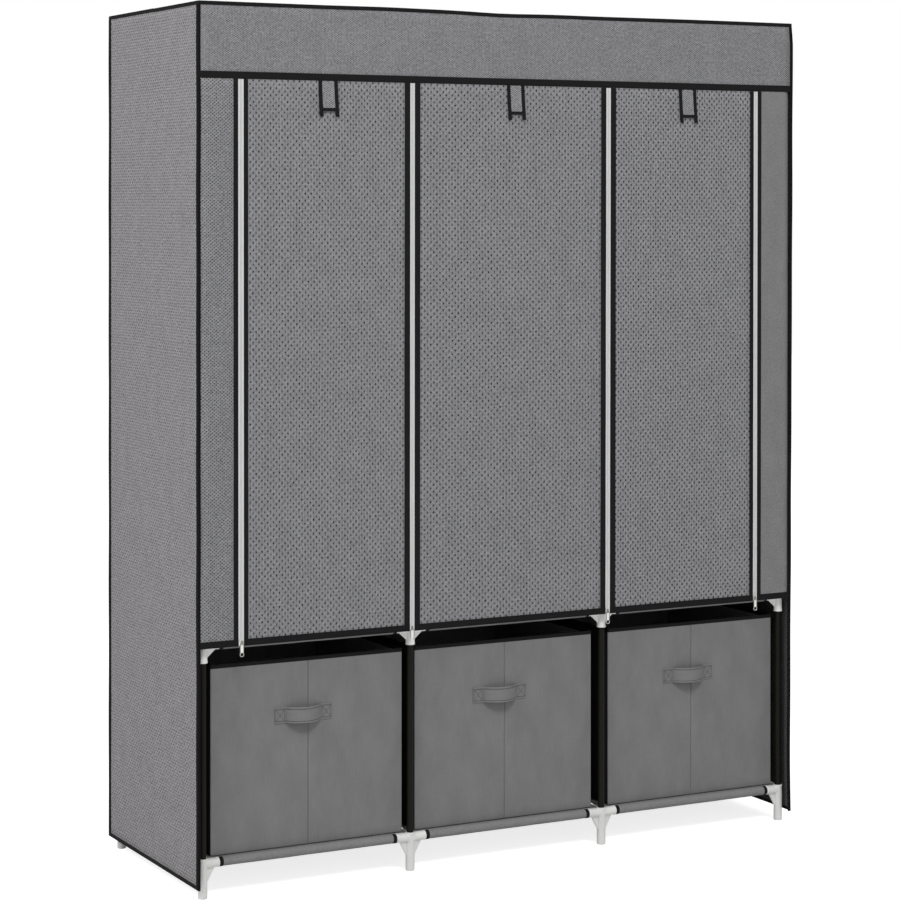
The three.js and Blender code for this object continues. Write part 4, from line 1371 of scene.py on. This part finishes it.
def handle_section(height):
    """A flat band with a thicker rib near its upper and lower edge, as a closed loop of (z, out)."""
    z = np.linspace(-height / 2 + 0.6 * MM, height / 2 - 0.6 * MM, 37)
    rib = np.exp(-((np.abs(z) - (height / 2 - 1.7 * MM)) / (0.9 * MM)) ** 2)
    groove = np.exp(-((np.abs(z) - (height / 2 - EDGE_SEAM)) / (0.7 * MM)) ** 2)
    half = HANDLE_CLOTH / 2 * (0.8 + 0.45 * rib - 0.4 * groove)
    front = stacked(z, half)
    back = stacked(z[::-1], -half[::-1] * 0.9)
    return np.concatenate([front, [[height / 2, 0]], back, [[-height / 2, 0]], front[:1]])


def stitches(start, end):
    """Short raised threads in a row from start to end."""
    count = max(1, round(np.linalg.norm(end - start) / STITCH))
    across = np.cross((end - start) / np.linalg.norm(end - start), -Y)
    made = []
    for index in range(count):
        a, b = (start + (end - start) * (index + share) / count for share in (0.12, 0.88))
        made.append(carried(THREAD_SECTION, line(a, b, 3) - STITCH_BOW * Y, across, -Y))
    return made


for number in BAYS:
    low, high = corners(f"box_handle_{number}")
    height = HANDLE_HEIGHT * (high[2] - low[2] + 0.5 * MM)
    z_mid = low[2] - 0.5 * MM + height / 2
    x_mid = (low[0] + high[0]) / 2 + HANDLE_SHIFTS[number - 1]
    path, out = handle_path(x_mid, high[1], z_mid)
    band = carried(handle_section(height), path, Z, out, round_end=0.5 * MM)
    piece(f"handle_{number}", finished(box_cloth, band), f"box_body_{number}",
          [f"box_handle_{number}"])
    half = height / 2 - EDGE_SEAM
    loop = np.abs(path[:, 0] - x_mid) < HANDLE_LOOP + 1 * MM
    # Along the loop a dark thread lies in each groove: it is the stitching, and its dark colour also paints
    # the groove's shade.
    threads = [carried(THREAD_SECTION, path[loop] - drop * Z + out[loop] * HANDLE_CLOTH * 0.32, Z, out[loop])
               for drop in (-half, half)]
    for side in (-1, 1):
        near = x_mid + side * (HANDLE_END - 2.5 * MM)
        far = near - side * STITCH_SQUARE
        square = [(near, z_mid - half), (far, z_mid - half), (far, z_mid + half), (near, z_mid + half)]
        points = [np.array([x, high[1] - HANDLE_CLOTH * 0.9, z]) for x, z in square]
        for a, b in ((0, 1), (1, 2), (2, 3), (3, 0), (0, 2), (1, 3)):
            threads += stitches(points[a], points[b])
    piece(f"handle_stitching_{number}", finished(thread, *threads), f"box_body_{number}")
print("boxes and handles made")

# %% [markdown]
# ## Floor, light and camera
# A pale floor runs to a white background. The world and three soft lamps light the object at a plain
# level. For the camera alone the floor is a little brighter, so that it meets the white background and
# keeps the object's shadow.

# %% Stage
WORLD_LEVEL = 0.44
FLOOR_GLOW = 0.79
FLOOR_SIZE = 14.0
WHITE = (1, 1, 1, 1)
LAMPS = {
    "left": ((-4.4, -1.1, 3.9), 0.9, 2.6, 113),
    "key": ((-0.8, -4.7, 5.5), 0.8, 1.5, 174),
    "front": ((1.2, -5.6, 1.4), 0.8, 3.0, 24),
}


def seen(tree):
    """1 for the rays of the camera, of mirrors and through clear bodies, and 0 for the object's light."""
    ray = tree.node("ShaderNodeLightPath", output="Is Camera Ray")
    return ray.highest(ray.also("Is Glossy Ray")).highest(ray.also("Is Transmission Ray"))


paint = Finish("pale floor")
diffuse = paint.node("ShaderNodeBsdfDiffuse", {}, {"Color": (0.8, 0.8, 0.8, 1)})
glow = paint.node("ShaderNodeEmission", {}, {"Color": WHITE, "Strength": seen(paint) * FLOOR_GLOW})
both = paint.node("ShaderNodeAddShader", {}, {0: diffuse, 1: glow})
paint.node("ShaderNodeOutputMaterial", {}, {"Surface": both})
floor_corners = [[[x, y, 0] for x in (-FLOOR_SIZE, FLOOR_SIZE)] for y in (-FLOOR_SIZE, FLOOR_SIZE)]
floor_mesh, _ = joined("floor", [np.array(floor_corners)])
floor_mesh.materials.append(paint.owner)
added("floor", floor_mesh)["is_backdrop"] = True

sky = Finish("studio", bpy.data.worlds.new)
levels = {"Value": seen(sky), "To Min": WORLD_LEVEL, "To Max": 1.0}
strength = sky.node("ShaderNodeMapRange", {}, levels)
background = sky.node("ShaderNodeBackground", {}, {"Color": WHITE, "Strength": strength})
sky.node("ShaderNodeOutputWorld", {}, {"Surface": background})
bpy.context.scene.world = sky.owner

for name, (place, target_z, size, power) in LAMPS.items():
    lamp = bpy.data.lights.new(name, "AREA")
    lamp.shape = "SQUARE"
    lamp.size = size
    lamp.energy = power
    made = added(name, lamp)
    made.location = place
    made.rotation_euler = (Vector((0, 0, target_z)) - Vector(place)).to_track_quat("-Z", "Y").to_euler()

# %% [markdown]
# The camera stands to the left of the wardrobe, at eye height and level. The lens shift moves the frame
# down to the object, as in the picture.

# %% Camera
camera_data = bpy.data.cameras.new("camera")
camera_data.lens = 102.48
camera_data.sensor_width = 36
camera_data.shift_x = -0.01667
camera_data.shift_y = -0.2747
camera_data.clip_end = 100
camera = added("camera", camera_data)
camera.location = (-2.5848, -4.8691, 1.3575)
camera.rotation_euler = (math.radians(90), 0, math.radians(-28.13))
bpy.context.scene.camera = camera
bpy.context.scene.view_settings.view_transform = "Standard"

# %% Sizes and finish
visual_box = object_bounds()
for name, box in (("CAD", cad_box), ("visual", visual_box)):
    print(name, "box", np.round([list(corner) for corner in box], 4).tolist())
